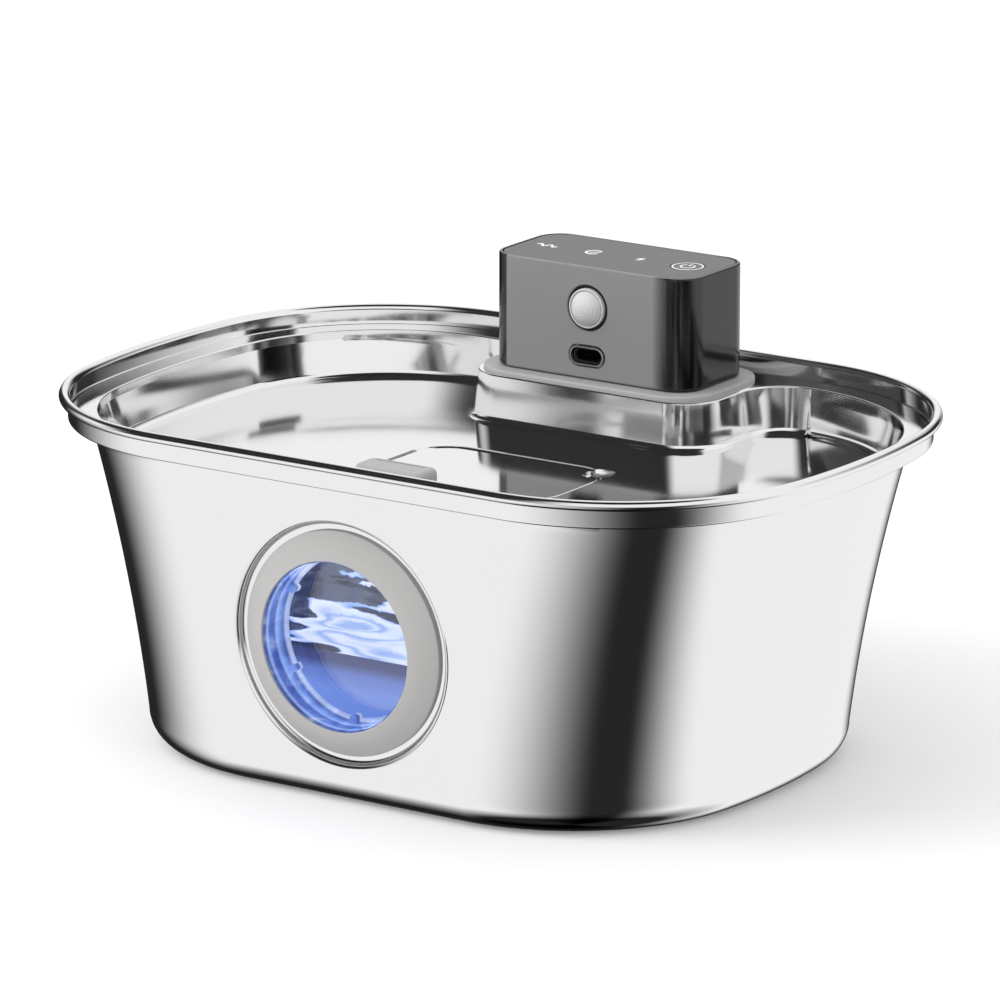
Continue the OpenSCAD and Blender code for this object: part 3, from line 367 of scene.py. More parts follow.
def smoothed(obj, angle=14.0):
    """Smooth shading with sharp edges where faces meet at more than the angle."""
    obj.data.polygons.foreach_set("use_smooth", [True] * len(obj.data.polygons))
    obj.data.set_sharp_from_angle(angle=math.radians(angle))
    weight = obj.modifiers.new("flat faces stay flat", "WEIGHTED_NORMAL")
    weight.keep_sharp = True
    return applied(obj)


def dressed(obj, finish, body, *nodes):
    """Gives obj its material and body, and hides the CAD nodes that it stands for."""
    material, slot_name = finish
    obj.data.materials.clear()
    obj.data.materials.append(material)
    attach(obj, body)
    if nodes:
        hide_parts(*nodes)
    return obj


def port_place():
    """Porthole frame: Z runs square to the leaning wall, into the tank."""
    high, low = wall_line(PORT_Z + DISH_R)[1], wall_line(PORT_Z - DISH_R)[1]
    tilt = math.atan((high - low) / (2 * DISH_R))
    return at(0, -wall_line(PORT_Z)[1], PORT_Z) @ Matrix.Rotation(-math.pi / 2 + tilt, 4, "X")


def front_place(z):
    """Frame on the middle of the module's front face: Z runs out of the face, towards the viewer."""
    return at(0, MODULE_FRONT, z) @ Matrix.Rotation(math.pi / 2, 4, "X")


# Materials
def add_node(tree, kind, settings=None, **links):
    """Adds a shader node with its settings, and links or sets the sockets named in links."""
    node = tree.nodes.new("ShaderNode" + kind)
    for key, value in (settings or {}).items():
        setattr(node, key, value)
    for key, value in links.items():
        socket = node.inputs[int(key[1:])] if key[0] == "i" and key[1:].isdigit() else node.inputs[
            key.replace("_", " ")]
        if isinstance(value, bpy.types.NodeSocket):
            tree.links.new(value, socket)
        else:
            socket.default_value = value
    return node


def fresh_tree(block):
    block.use_nodes = True
    block.node_tree.nodes.clear()
    return block.node_tree


def new_material(name, **shader):
    """Material with one Principled shader; returns it with its tree and shader."""
    material = bpy.data.materials.new(name)
    tree = fresh_tree(material)
    bsdf = add_node(tree, "BsdfPrincipled", **shader)
    add_node(tree, "OutputMaterial", i0=bsdf.outputs[0])
    return material, tree, bsdf


def object_place(tree):
    return add_node(tree, "TexCoord").outputs["Object"]


def split(tree, vector):
    return add_node(tree, "SeparateXYZ", Vector=vector).outputs


def worked(tree, operation, *values):
    """Result of a Math node."""
    sockets = {"i%d" % i: value for i, value in enumerate(values)}
    return add_node(tree, "Math", {"operation": operation}, **sockets).outputs[0]


def dot(tree, vector, axis):
    node = add_node(tree, "VectorMath", {"operation": "DOT_PRODUCT"}, i0=vector, i1=axis)
    return node.outputs["Value"]


def mixed(tree, share, first, second, blend="MIX"):
    """Two colours mixed."""
    return add_node(tree, "Mix", {"data_type": "RGBA", "blend_type": blend}, i0=share, i6=first,
                    i7=second).outputs[2]


def mapped(tree, value, low, high, out_low, out_high):
    return add_node(tree, "MapRange", i0=value, i1=low, i2=high, i3=out_low, i4=out_high).outputs[0]


def ramp(tree, value, *stops):
    """Colour ramp of (position, linear colour) stops."""
    node = add_node(tree, "ValToRGB", Fac=value)
    elements = node.color_ramp.elements
    while len(elements) < len(stops):
        elements.new(0.5)
    for element, (position, colour) in zip(elements, stops):
        element.position, element.color = position, colour
    return node.outputs[0]


def hex_ramp(tree, value, *stops):
    """Colour ramp of (position, sRGB hex colour) stops."""
    return ramp(tree, value, *[(position, linear(colour)) for position, colour in stops])


def object_noise(tree, grain_mm, detail=2.0, stretch=(1, 1, 1)):
    """Noise in the object's own space, with grains of that size."""
    scaled = add_node(tree, "Mapping", i0=object_place(tree),
                      Scale=tuple(s / (grain_mm * MM) for s in stretch))
    return add_node(tree, "TexNoise", Vector=scaled.outputs[0], Scale=1.0, Detail=detail).outputs[0]


def bumped(tree, bsdf, height, depth_mm):
    bump = add_node(tree, "Bump", Height=height, Distance=depth_mm * MM, Strength=1.0)
    tree.links.new(bump.outputs[0], bsdf.inputs["Normal"])


def steel_finish(name, base, roughness, grain_mm):
    """Drawn stainless steel, polished: soft clean reflections with a faint unevenness from the press."""
    material, tree, bsdf = new_material(name, Base_Color=base, Metallic=1.0, Roughness=roughness)
    rough = mapped(tree, object_noise(tree, grain_mm), 0.3, 0.7, roughness * 0.85, roughness * 1.15)
    tree.links.new(rough, bsdf.inputs["Roughness"])
    return material


def lacquer_with_painted_shade(name, front, painted_shade_grey, edge):
    """Lacquer with painted shade: an even satin front between corners and sides painted a darker grey in gloss
    that mirrors the studio, as painted shade for the sides turned from the light, with the faint waviness of a
    moulding under lacquer. The front fades into the painted shade on the right."""
    material, tree, bsdf = new_material(name)
    x = split(tree, object_place(tree))[0]
    # Painted shade masks: dark past the left corner's edge, and a fade into the dark over the last 5 mm on the
    # right.
    left = mapped(tree, x, -edge - 1.6 * MM, -edge - 0.8 * MM, 1.0, 0.0)
    right = mapped(tree, x, edge - 5 * MM, edge + 0.4 * MM, 0.0, 1.0)
    share = worked(tree, "MAXIMUM", left, right)
    tree.links.new(mixed(tree, share, front, painted_shade_grey), bsdf.inputs["Base Color"])
    tree.links.new(share, bsdf.inputs["Metallic"])
    wavy = mapped(tree, object_noise(tree, 18), 0.3, 0.7, 0.12, 0.16)
    satin = add_node(tree, "Mix", {"data_type": "FLOAT"}, i0=share, i2=0.4, i3=wavy)
    tree.links.new(satin.outputs[0], bsdf.inputs["Roughness"])
    return material


def light_guide_painted_glow():
    """Clear plastic wall with a painted glow, though no lamp is behind it: painted light in bands of pale and
    deep blue along its depth, broken up by painted highlight streaks that also bump it like a moulding."""
    material, tree, bsdf = new_material("light_guide_painted_light", Base_Color=linear("#33457e"), Roughness=0.03,
                                        IOR=1.5, Transmission_Weight=0.15, Emission_Strength=0.8)
    streaks = object_noise(tree, 5, detail=3.0, stretch=(1, 0.5, 1))
    # Painted highlights: the noise's streaks drawn from deep blue up to white.
    lit = hex_ramp(tree, streaks, (0.40, "#22315f"), (0.49, "#5f7cc6"), (0.57, "#8fb0ee"), (0.66, "#ffffff"))
    axis = port_place().col[2].xyz
    start = port_place().translation.dot(axis)
    depth = mapped(tree, dot(tree, object_place(tree), axis), start - WINDOW_RISE * MM,
                   start + SLEEVE_DEPTH * MM, 0.0, 1.0)
    # Painted light along the depth: pale and deep blue bands, darkest at both ends.
    bands = hex_ramp(tree, depth, (0.0, "#0d1530"), (0.10, "#16224a"), (0.16, "#b4cbf8"), (0.26, "#4a66b4"),
                     (0.42, "#2d4285"), (0.5, "#a9c5fa"), (0.62, "#6f8fd8"), (0.74, "#34498c"),
                     (0.84, "#d9e8ff"), (0.93, "#5a78c4"), (1.0, "#131b38"))
    tree.links.new(mixed(tree, 0.3, bands, lit), bsdf.inputs["Emission Color"])
    bumped(tree, bsdf, streaks, 0.3)
    return material


def clear_finish():
    """Clear moulded plastic: its skin is slightly wavy, so what lies behind it shifts a little."""
    material, tree, bsdf = new_material("clear_polycarbonate", Base_Color=linear("#e3ebff"), Roughness=0.02,
                                        IOR=1.58, Transmission_Weight=1.0)
    bumped(tree, bsdf, object_noise(tree, 6), 0.05)
    return material


def moulded_finish(name, base, roughness, grain_mm=0.6, depth_mm=0.01, **shader):
    """Moulded plastic or rubber: a fine spark-eroded grain that breaks up the gloss."""
    material, tree, bsdf = new_material(name, Base_Color=base, Roughness=roughness, **shader)
    grain = object_noise(tree, grain_mm)
    rough = mapped(tree, grain, 0.3, 0.7, roughness * 0.9, min(1.0, roughness * 1.1))
    tree.links.new(rough, bsdf.inputs["Roughness"])
    bumped(tree, bsdf, grain, depth_mm)
    return material


def felt_finish(name, dark, light, grain_mm, depth_mm):
    """Open foam or felt: mottled, with pits or fibres the size of its grain."""
    material, tree, bsdf = new_material(name, Roughness=0.95)
    pits = object_noise(tree, grain_mm, detail=6.0)
    tree.links.new(hex_ramp(tree, pits, (0.35, dark), (0.65, light)), bsdf.inputs["Base Color"])
    bumped(tree, bsdf, pits, depth_mm)
    return material


def water_with_painted_light(level, ripple):
    """Water with painted light, though no lamp is in it: its body is a painted blue glow, with painted shade
    just under the top, and its top is a dark mirror on which painted highlights draw the ripples as hard-edged
    bands."""
    material, tree, bsdf = new_material("water_painted_light", Base_Color=linear("#20243c"), Roughness=0.03, IOR=1.333,
                                        Emission_Strength=1.0)
    place = object_place(tree)
    parts = split(tree, place)
    depth = mapped(tree, parts[2], level - 0.020, level, 0.0, 1.0)
    # Painted glow of the water's body, with painted shade just under its top.
    glow = hex_ramp(tree, depth, (0.0, "#7490d8"), (0.45, "#7f99dc"), (0.7, "#6f83c2"), (0.85, "#454b74"),
                    (1.0, "#3c4066"))
    swell = add_node(tree, "Mapping", i0=place, Scale=(24, 62, 1),
                     Rotation=(0, 0, math.radians(-12)))
    waves = add_node(tree, "TexNoise", Vector=swell.outputs[0], Scale=1.0, Detail=1.0,
                     Distortion=0.5).outputs[0]
    # Painted highlights: the ripples drawn as hard-edged bright bands, brighter towards +X.
    slope = mapped(tree, parts[0], -0.07, 0.0, -0.16, 0.2)
    bands = hex_ramp(tree, worked(tree, "ADD", waves, slope), (0.50, "#2b2c40"), (0.505, "#8fb4f5"),
                     (0.53, "#ffffff"), (0.59, "#e9f3ff"), (0.65, "#9db9f0"), (0.71, "#f6fbff"),
                     (0.78, "#a9c4f2"))
    up = split(tree, add_node(tree, "NewGeometry").outputs["Normal"])[2]
    light = mixed(tree, mapped(tree, up, 0.4, 0.6, 0.0, 1.0), glow, bands)
    tree.links.new(light, bsdf.inputs["Emission Color"])
    bumped(tree, bsdf, waves, ripple / MM)
    return material


# CAD slot to name, colour and roughness, and for some the grain and its depth
MOULDED = {
    "panel_grey": ("satin_grey_abs", "#656565", 0.5),
    "bezel_grey": ("satin_light_grey_abs", "#a8a7a6", 0.42),
    "dark_silicone": ("black_silicone", "#191919", 0.6),
    "magnet": ("sintered_ferrite", "#3a3a3c", 0.5, 0.5),
    "ceramic": ("glazed_ceramic", "#eeece6", 0.12, 3, 0.002),
    "circuit_board": ("solder_mask", "#1d5a35", 0.3, 2),
    "cell_wrap": ("shrink_wrap", "#3560a8", 0.25, 4),
    "lead_red": ("wire_insulation", "#b02a2a", 0.4),
    "blue_plastic": ("blue_polyoxymethylene", "#5b82b4", 0.25),
    "grey_plastic": ("grey_abs", "#8a8a8c", 0.45),
    "black_plastic": ("black_abs", "#161616", 0.5),
    "white_plastic": ("white_abs", "#e8e8e8", 0.45),
}
METALS = {"liner_aluminium": ("satin_aluminium", "#c9c9c9", 0.3, 5),
          "plain_steel": ("plain_steel", "#b9b9b9", 0.35, 5)}
FELTS = {"foam": ("open_cell_foam", "#2f3437", "#5c6468", 1.2, 0.4),
         "carbon_felt": ("carbon_felt", "#0c0c0c", "#2a2a2a", 0.8, 0.3)}
COATS = {}


def new_coat(slot_name):
    look = bpy.context.scene.fountain_look
    if slot_name == "polished_steel":
        return steel_finish("polished_stainless_steel", (*look.steel, 1.0), look.steel_roughness, 30)
    if slot_name == "module_grey":
        # The front keeps the set colour; sides and corners take a darker grey as painted shade.
        return lacquer_with_painted_shade("lacquer_painted_side_shade", (*look.module, 1.0), linear("#484848"),
                              (MODULE_W / 2 - MODULE_R + 1) * MM)
    if slot_name in ("pale_silicone", "grip_silicone"):
        return moulded_finish(slot_name, (*look.silicone, 1.0), 0.55)
    if slot_name == "milky_lens":
        return moulded_finish("milky_polyethylene", linear("#cccccc"), 0.5, Subsurface_Weight=0.3,
                              Subsurface_Scale=0.002)
    if slot_name == "painted_port_shade":
        # Near-black with almost no gloss: the socket's black plastic darkened further as painted shade for the
        # port's dark inside.
        return moulded_finish("socket_painted_shade", linear("#020202"), 0.9, Specular_IOR_Level=0.1)
    if slot_name == "clear_plastic":
        return clear_finish()
    if slot_name in FELTS:
        return felt_finish(*FELTS[slot_name])
    name, colour, *numbers = (METALS if slot_name in METALS else MOULDED)[slot_name]
    return (steel_finish if slot_name in METALS else moulded_finish)(name, linear(colour), *numbers)


def coat(slot_name):
    """Material of that CAD slot, made once, and the slot's name."""
    if slot_name not in COATS:
        COATS[slot_name] = new_coat(slot_name)
    return COATS[slot_name], slot_name


# Studio
OVERHEAD_FLAG = (0.087, -0.13, 0.988)
KEY_SIDE = (-0.70, -0.62, 0.35)
BRIGHT, DARK = 0.95, 0.02
# Dark flags in degrees of azimuth: from, to, and the width of the soft edge before and after
LOW_FLAGS = ((-155, -115, 25, 65), (45, 60, 70, 45))
LEVEL_FLAGS = ((-180, -175, 0, 20), (-130, -110, 10, 30), (-50, -30, 25, 50), (165, 180, 45, 0))
UPPER_FLAGS = ((-110, -20, 30, 30),)


def studio_world(sky):
    """Studio seen by direction. Azimuth runs from the front (-Y) towards +X, in degrees.

    The camera and clear pieces see plain white, matt pieces a plain soft sky, and shiny pieces a bright
    panorama with dark flags: they draw the long gradients and thin lines that give polished steel its shape.
    """
    world = bpy.data.worlds.new("studio")
    tree = fresh_tree(world)
    view = add_node(tree, "TexCoord").outputs["Generated"]
    x, y, z = split(tree, view)
    turn = worked(tree, "ARCTAN2", x, worked(tree, "MULTIPLY", y, -1.0))
    azimuth = mapped(tree, turn, -math.pi, math.pi, 0.0, 1.0)
    elevation = mapped(tree, worked(tree, "ARCSINE", z), -math.pi / 2, math.pi / 2, 0.0, 1.0)

    def grey_ramp(value, half, stops):
        return ramp(tree, value, *[((angle + half) / (2 * half), (v, v, v, 1)) for angle, v in stops])

    def flagged_wall(flags):
        stops = []
        for start, end, before, after in flags:
            if before:
                stops.append((start - before, BRIGHT))
            stops += [(start, DARK), (end, DARK)]
            if after:
                stops.append((end + after, BRIGHT))
        shade = grey_ramp(azimuth, 180, stops)
        shade.node.color_ramp.interpolation = "EASE"
        return shade

    def zones(*stops):
        return grey_ramp(elevation, 90, stops)

    under = zones((-90, DARK), (-65, DARK), (-45, 1))
    wall = mixed(tree, 1.0, flagged_wall(LOW_FLAGS), under, "MULTIPLY")
    middle = mixed(tree, zones((-90, 0), (-10, 0), (0, 1)), wall, flagged_wall(LEVEL_FLAGS))
    high = mixed(tree, zones((-90, 0), (15, 0), (30, 1)), middle, flagged_wall(UPPER_FLAGS))
    flag = mapped(tree, dot(tree, view, OVERHEAD_FLAG), math.cos(math.radians(29)), math.cos(math.radians(25)),
                  0.0, 1.0)
    amount = mapped(tree, dot(tree, view, KEY_SIDE), -1.0, 1.0, 0.6 * sky, 1.45 * sky)

    def background(colour, strength):
        return add_node(tree, "Background", Color=colour, Strength=strength).outputs[0]

    panorama = background(mixed(tree, flag, high, (0.02, 0.02, 0.02, 1)), 1.0)
    rays = add_node(tree, "LightPath").outputs
    plain = worked(tree, "MAXIMUM", rays["Is Camera Ray"], rays["Is Transmission Ray"])
    lit = add_node(tree, "MixShader", i0=rays["Is Glossy Ray"], i1=background((1, 1, 1, 1), amount),
                   i2=panorama)
    mix = add_node(tree, "MixShader", i0=plain, i1=lit.outputs[0], i2=background((1, 1, 1, 1), 1.0))
    add_node(tree, "OutputWorld", i0=mix.outputs[0])
    return world


def soft_lamp(name, place, size, power):
    """Square area lamp that looks at the object; steel doesn't mirror it."""
    light = bpy.data.lights.new(name, "AREA")
    light.size, light.energy = size, power
    lamp = placed(name, light)
    lamp.matrix_world = aimed(Vector(place), Vector((0, 0, 0.06)))
    lamp.visible_glossy = False
    return lamp


def aimed(place, target):
    """Frame at place that looks at target."""
    return Matrix.Translation(place) @ (target - place).to_track_quat("-Z", "Y").to_matrix().to_4x4()


class FountainLook(bpy.types.PropertyGroup):
    """Colours and finishes that a user would change."""
    steel: FloatVectorProperty(name="Steel", description="Colour of the polished steel", subtype="COLOR",
                               default=linear("#f2f2f2")[:3], min=0, max=1)
    steel_roughness: FloatProperty(name="Steel roughness", description="How soft the steel's reflections are",
                                   default=0.09, min=0, max=1, subtype="FACTOR")
    module: FloatVectorProperty(name="Module", description="Colour of the drive module's lacquer",
                                subtype="COLOR", default=linear("#858585")[:3], min=0, max=1)
    sky: FloatProperty(name="Sky", description="Soft light from all round on matt surfaces", default=1.0,
                       min=0, max=2)
    silicone: FloatVectorProperty(name="Silicone", description="Colour of the pale silicone parts",
                                  subtype="COLOR", default=linear("#a8a8a8")[:3], min=0, max=1)


class FountainSizes(bpy.types.PropertyGroup):
    """Sizes that a user would change."""
    basin_edge: FloatProperty(name="Basin edge", description="Radius of the basin's rolled-over edge",
                              default=0.45 * MM, min=0.2 * MM, max=2 * MM, unit="LENGTH")
    water_level: FloatProperty(name="Water level", description="Height of the water in the tank",
                               default=44 * MM, min=20 * MM, max=70 * MM, unit="LENGTH")
    ripple: FloatProperty(name="Ripple", description="Height of the water's ripples",
                          default=0.8 * MM, min=0, max=3 * MM, unit="LENGTH")


class FOUNTAIN_OT_tank(bpy.types.Operator):
    """Draws the tank's steel skin: flared wall, stepped band, rolled bead and the porthole's pressed dish"""
    bl_idname = "fountain.tank"
    bl_label = "Tank"

    def execute(self, context):
        def rim(inset, z):
            return lifted(oval(grown(RIM_LINE, -inset)), z)

        def foot(radius, floor, inset):
            return [lifted(oval(grown(FOOT_LINE, -inset - radius * (1 - math.sin(t)))),
                           floor + radius * (1 - math.cos(t)))
                    for t in [math.pi / 2 * k / 14 for k in range(15)]]

        top = BAND_Z - STEP_ROLL
        levels = [FOOT_R + (top - FOOT_R) * k / 28 for k in range(1, 29)]
        rings = foot(FOOT_R, 0.0, 0.0)
        rings += [lifted(oval(wall_line(z)), z) for z in levels]
        rings += [rim(STEP_INSET - STEP_ROLL - u, v) for u, v in arc(0, top, STEP_ROLL, 180, -90, 6)[1:]]
        rings += [rim(BAND_INSET + BAND_ROLL - u, v) for u, v in arc(0, SHELF_Z, BAND_ROLL, -90, 90, 6)]
        rings += [rim(-u, v) for u, v in arc(0, BEAD_Z, BEAD_R, -133.4, 298.4, 40)]
        inner = BAND_INSET + SHEET
        rings += [rim(inner, BEAD_Z)]
        rings += [rim(inner + SHELF_ROLL - u, v)
                  for u, v in arc(0, SHELF_Z + SHELF_ROLL, SHELF_ROLL, 0, -90, 4)]
        rings += [rim(STEP_INSET + SHEET - EDGE_ROLL - u, v)
                  for u, v in arc(0, SHELF_Z - EDGE_ROLL, EDGE_ROLL, 90, 90, 4)]
        rings += [lifted(oval(grown(wall_line(z), -SHEET)), z) for z in levels[::-1]]
        rings += foot(FOOT_R - SHEET, SHEET, SHEET)[::-1]
        whole = stack_mesh("tank_skin", rings)
        pattern = smoothed(piece("pattern", whole.copy()))
        tank = piece("tank_skin", whole)
        combined(tank, rod("hole", DISH_R - 0.2, -12, 12), port_place())
        tank.data.polygons.foreach_set("use_smooth", [True] * len(tank.data.polygons))
        tank.data.set_sharp_from_angle(angle=math.radians(30))
        borrow = tank.modifiers.new("normals of the whole wall", "DATA_TRANSFER")
        borrow.object = pattern
        borrow.use_loop_data = True
        borrow.data_types_loops = {"CUSTOM_NORMAL"}
        borrow.loop_mapping = "POLYINTERP_NEAREST"
        near = tank.vertex_groups.new(name="near the porthole")
        centre = port_place().translation
        near.add([v.index for v in tank.data.vertices if (v.co - centre).length < (DISH_R + 14) * MM], 1.0,
                 "REPLACE")
        borrow.vertex_group = near.name
        applied(tank)
        bpy.data.objects.remove(pattern)
        dressed(tank, coat("polished_steel"), "tank", "tank_shell")
        hole_r = WINDOW_R + SLEEVE_WALL + FIT
        profile = [(hole_r, DISH_DEPTH)]
        sweep = math.degrees(math.acos(1 - (DISH_DEPTH + DISH_PROUD) / (2 * DISH_ROLL)))
        outer = DISH_R - 0.1
        floor_r = outer - 2 * DISH_ROLL * math.sin(math.radians(sweep))
        profile += [(floor_r + u, DISH_DEPTH - DISH_ROLL + v) for u, v in arc(0, 0, DISH_ROLL, 90, -sweep, 12)]
        profile += [(outer + u, DISH_ROLL - DISH_PROUD + v)
                    for u, v in arc(0, 0, DISH_ROLL, -90 - sweep, sweep, 12)]
        profile += [(DISH_R + 0.1, 0.0), (DISH_R + 0.2, 0.9), (DISH_R - 1.2, 2.4),
                    (DISH_FLOOR_R, DISH_DEPTH + SHEET), (hole_r, DISH_DEPTH + SHEET)]
        dish = smoothed(piece("porthole_dish", lathe("porthole_dish", profile), port_place()))
        dressed(dish, coat("polished_steel"), "tank")
        return {"FINISHED"}


class FOUNTAIN_OT_porthole(bpy.types.Operator):
    """Draws the porthole's bezel and the clear cup behind it, with its lugs"""
    bl_idname = "fountain.porthole"
    bl_label = "Porthole"

    def execute(self, context):
        place = port_place()
        outer, front = DISH_FLOOR_R - FIT, DISH_DEPTH - FLANGE_T
        wall = WINDOW_R + SLEEVE_WALL
        rim, lip = FLANGE_T - WINDOW_RISE, 0.3
        face = [(outer - 0.4 + u, DISH_DEPTH - 1.3 + 0.4 + v) for u, v in arc(0, 0, 0.4, 0, -70, 5)]
        face += [(33.4, 0.05), (32.0, -0.85), (30.5, -1.75), (29.0, -2.65)]
        face += [(WINDOW_R + lip + 0.4 + u, lip - WINDOW_RISE + v) for u, v in arc(0, 0, lip, -60, -120, 6)]
        face[-1] = (WINDOW_R + 0.4, lip - WINDOW_RISE)
        back = [(WINDOW_R + 0.4, rim), (wall + 0.3, rim), (wall + 0.3, front), (SLEEVE_FLANGE_R + FIT, front),
                (SLEEVE_FLANGE_R + FIT, DISH_DEPTH), (outer, DISH_DEPTH)]
        bezel = smoothed(piece("bezel_ring", lathe("bezel_ring", face + back), place), 20)
        dressed(bezel, coat("bezel_grey"), "tank", "window_bezel")
        inside = SLEEVE_DEPTH - SLEEVE_WALL
        cup = [(WINDOW_R, rim), (wall, rim), (wall, front), (SLEEVE_FLANGE_R, front),
               (SLEEVE_FLANGE_R, DISH_DEPTH), (wall, DISH_DEPTH)]
        cup += [(wall - 0.8 + u, SLEEVE_DEPTH - 0.8 + v) for u, v in arc(0, 0, 0.8, 0, 90, 5)]
        cup += [(0.01, SLEEVE_DEPTH), (0.01, inside)]
        cup += [(WINDOW_R - 1 + u, inside - 1 + v) for u, v in arc(0, 0, 1, 90, -90, 5)]
        sleeve = piece("clear_cup", lathe("clear_cup", cup[::-1]), place)
        for i in range(LUG_COUNT):
            turn = Matrix.Rotation(2 * math.pi * (i + 0.5) / LUG_COUNT, 4, "Z")
            lug = block_mesh("lug", lambda g: rounded(LUG + 0.9, LUG, 0.7, g, (WINDOW_R - LUG / 2 + 0.45, 0),
                                                      4), inside / 2 + 0.8, inside + 0.9, foot=0.4)
            combined(sleeve, lug, place @ turn, "UNION")
        smoothed(sleeve, 24)
        dressed(sleeve, coat("clear_plastic"), "tank", "window_sleeve")
        # The cup's side wall, picked out below, takes the painted glow.
        sleeve.data.materials.append(light_guide_painted_glow())
        to_port = place.inverted()
        for face in sleeve.data.polygons:
            centre = (to_port @ face.center) / MM
            face.material_index = int(centre.xy.length > WINDOW_R - LUG - 0.5 and centre.z < SLEEVE_DEPTH - 0.5)
        return {"FINISHED"}


class FOUNTAIN_OT_water(bpy.types.Operator):
    """Draws the water that shows behind the porthole, its top rippled"""
    bl_idname = "fountain.water"
    bl_label = "Water"

    def execute(self, context):
        sizes = context.scene.fountain_sizes
        level = sizes.water_level / MM
        lines = [lifted(oval(grown(FOOT_LINE, -FOOT_R - 1)), 1.2)]
        lines += [lifted(oval(grown(wall_line(z), -SHEET - 0.3)), z) for z in (FOOT_R, level / 2, level - 1.5)]
        water = piece("water", stack_mesh("water", lines + [lifted(oval(grown(wall_line(level), -SHEET - 0.3)),
                                                                   level)]))
        for radius, start, stop in ((SLEEVE_FLANGE_R + 1, -2, SLEEVE_DEPTH + 0.3), (DISH_R + 1.5, -9, 4.5)):
            combined(water, rod("bay", radius, start, stop), port_place())
        combined(water, stem_block(2, 20, level + 5))
        combined(water, block_mesh("pump_bay", lambda g: rounded(*PUMP, g, (0, PUMP_Y)), 0, PUMP_TOP))
        smoothed(water, 40)
        dressed(water, (water_with_painted_light(sizes.water_level, sizes.ripple), "clear_plastic"), "tank")
        return {"FINISHED"}


class FOUNTAIN_OT_tray(bpy.types.Operator):
    """Draws the drinking tray: hem, ledge, basin, raised platform, hatch rebate, dimple and drain slots"""
    bl_idname = "fountain.tray"
    bl_label = "Tray"

    def execute(self, context):
        edge = context.scene.fountain_sizes.basin_edge / MM
        level = grown(RIM_LINE, -TRAY_INSET)

        def foot(radius, floor, inset):
            return [lifted(basin_loop(floor + z, inset + away), floor + z) for away, z in foot_profile(radius)]

        start = FLOOR_Z + foot_profile(BASIN_R)[0][1]
        heights = [start + (BAND_Z - start) * k / 6 for k in range(1, 7)]
        rings = foot(BASIN_R + SHEET, FLOOR_Z - SHEET, -SHEET)[::-1]
        rings += [lifted(basin_loop(z, -SHEET), z) for z in heights]
        rings += [lifted(basin_loop(LEDGE_Z, -SHEET), LEDGE_Z - SHEET)]
        rings += [lifted(edge_loop(grown(level, -SHEET)), LEDGE_Z - SHEET),
                  lifted(edge_loop(grown(level, -SHEET)), LEDGE_Z - HEM_H),
                  lifted(edge_loop(level), LEDGE_Z - HEM_H)]
        rings += [lifted(edge_loop(grown(level, u - 0.6)), v) for u, v in arc(0, LEDGE_Z - 0.6, 0.6, 0, 90, 6)]
        rings += [lifted(basin_loop(LEDGE_Z, -edge - u), v)
                  for u, v in arc(0, LEDGE_Z - edge, edge, 90, 90, 10)]
        rings += [lifted(basin_loop(z, 0), z) for z in heights[::-1]]
        rings += foot(BASIN_R, FLOOR_Z, 0)
        tray = piece("tray_skin", stack_mesh("tray_skin", rings))
        at_hatch = at(*HATCH, FLOOR_Z)
        at_notch = at_hatch @ at(*NOTCH, 0)

        def hatch(grow):
            return rounded(HATCH_L, HATCH_W, HATCH_R, grow, steps=16)

        sheet_box = block_mesh("rebate", lambda g: hatch(HATCH_GAP + SHEET + g), -REBATE_DEPTH - SHEET,
                               -SHEET / 2, foot=0.8)
        combined(tray, sheet_box, at_hatch, "UNION")
        ball = (NOTCH_R ** 2 + REBATE_DEPTH ** 2) / (2 * REBATE_DEPTH)

        def cap(radius, grow):
            reach = math.degrees(math.asin((NOTCH_R + grow) / radius))
            return [(max(x, 0.01), y) for x, y in arc(0, ball - REBATE_DEPTH, radius, -90, reach, 16)]
        below = cap(ball + SHEET, 0) + [(NOTCH_R, -SHEET / 2), (0.01, -SHEET / 2)]
        combined(tray, lathe("dimple", below, closed=False, steps=64), at_notch, "UNION")
        rim = REBATE_ROLL
        cut = [lifted(hatch(HATCH_GAP), -REBATE_DEPTH)]
        cut += [lifted(hatch(HATCH_GAP + rim - u), v) for u, v in arc(0, -rim, rim, 0, 90, 6)]
        cut += [lifted(hatch(HATCH_GAP + rim), 1.0)]
        combined(tray, stack_mesh("rebate_cut", cut), at_hatch)
        combined(tray, block_mesh("mouth", lambda g: hatch(-REBATE_W + g), -4, 1), at_hatch)
        above = cap(ball, 2.0) + [(NOTCH_R + 2.0, 3.0), (0.01, 3.0)]
        combined(tray, lathe("dimple_cut", above, closed=False, steps=64), at_notch)
        combined(tray, stem_block(STEM_ROOM, LEDGE_Z - 2, LEDGE_Z + 2))
        for i in range(DRAINS):
            drain = block_mesh("drain", lambda g: [(-y, x) for x, y in slot(*DRAIN, g)], -3, 2)
            combined(tray, drain, at_hatch @ at((i - (DRAINS - 1) / 2) * DRAIN_PITCH, DRAIN_Y, 0))
        smoothed(tray, 14)
        dressed(tray, coat("polished_steel"), "tray", "tray")
        return {"FINISHED"}


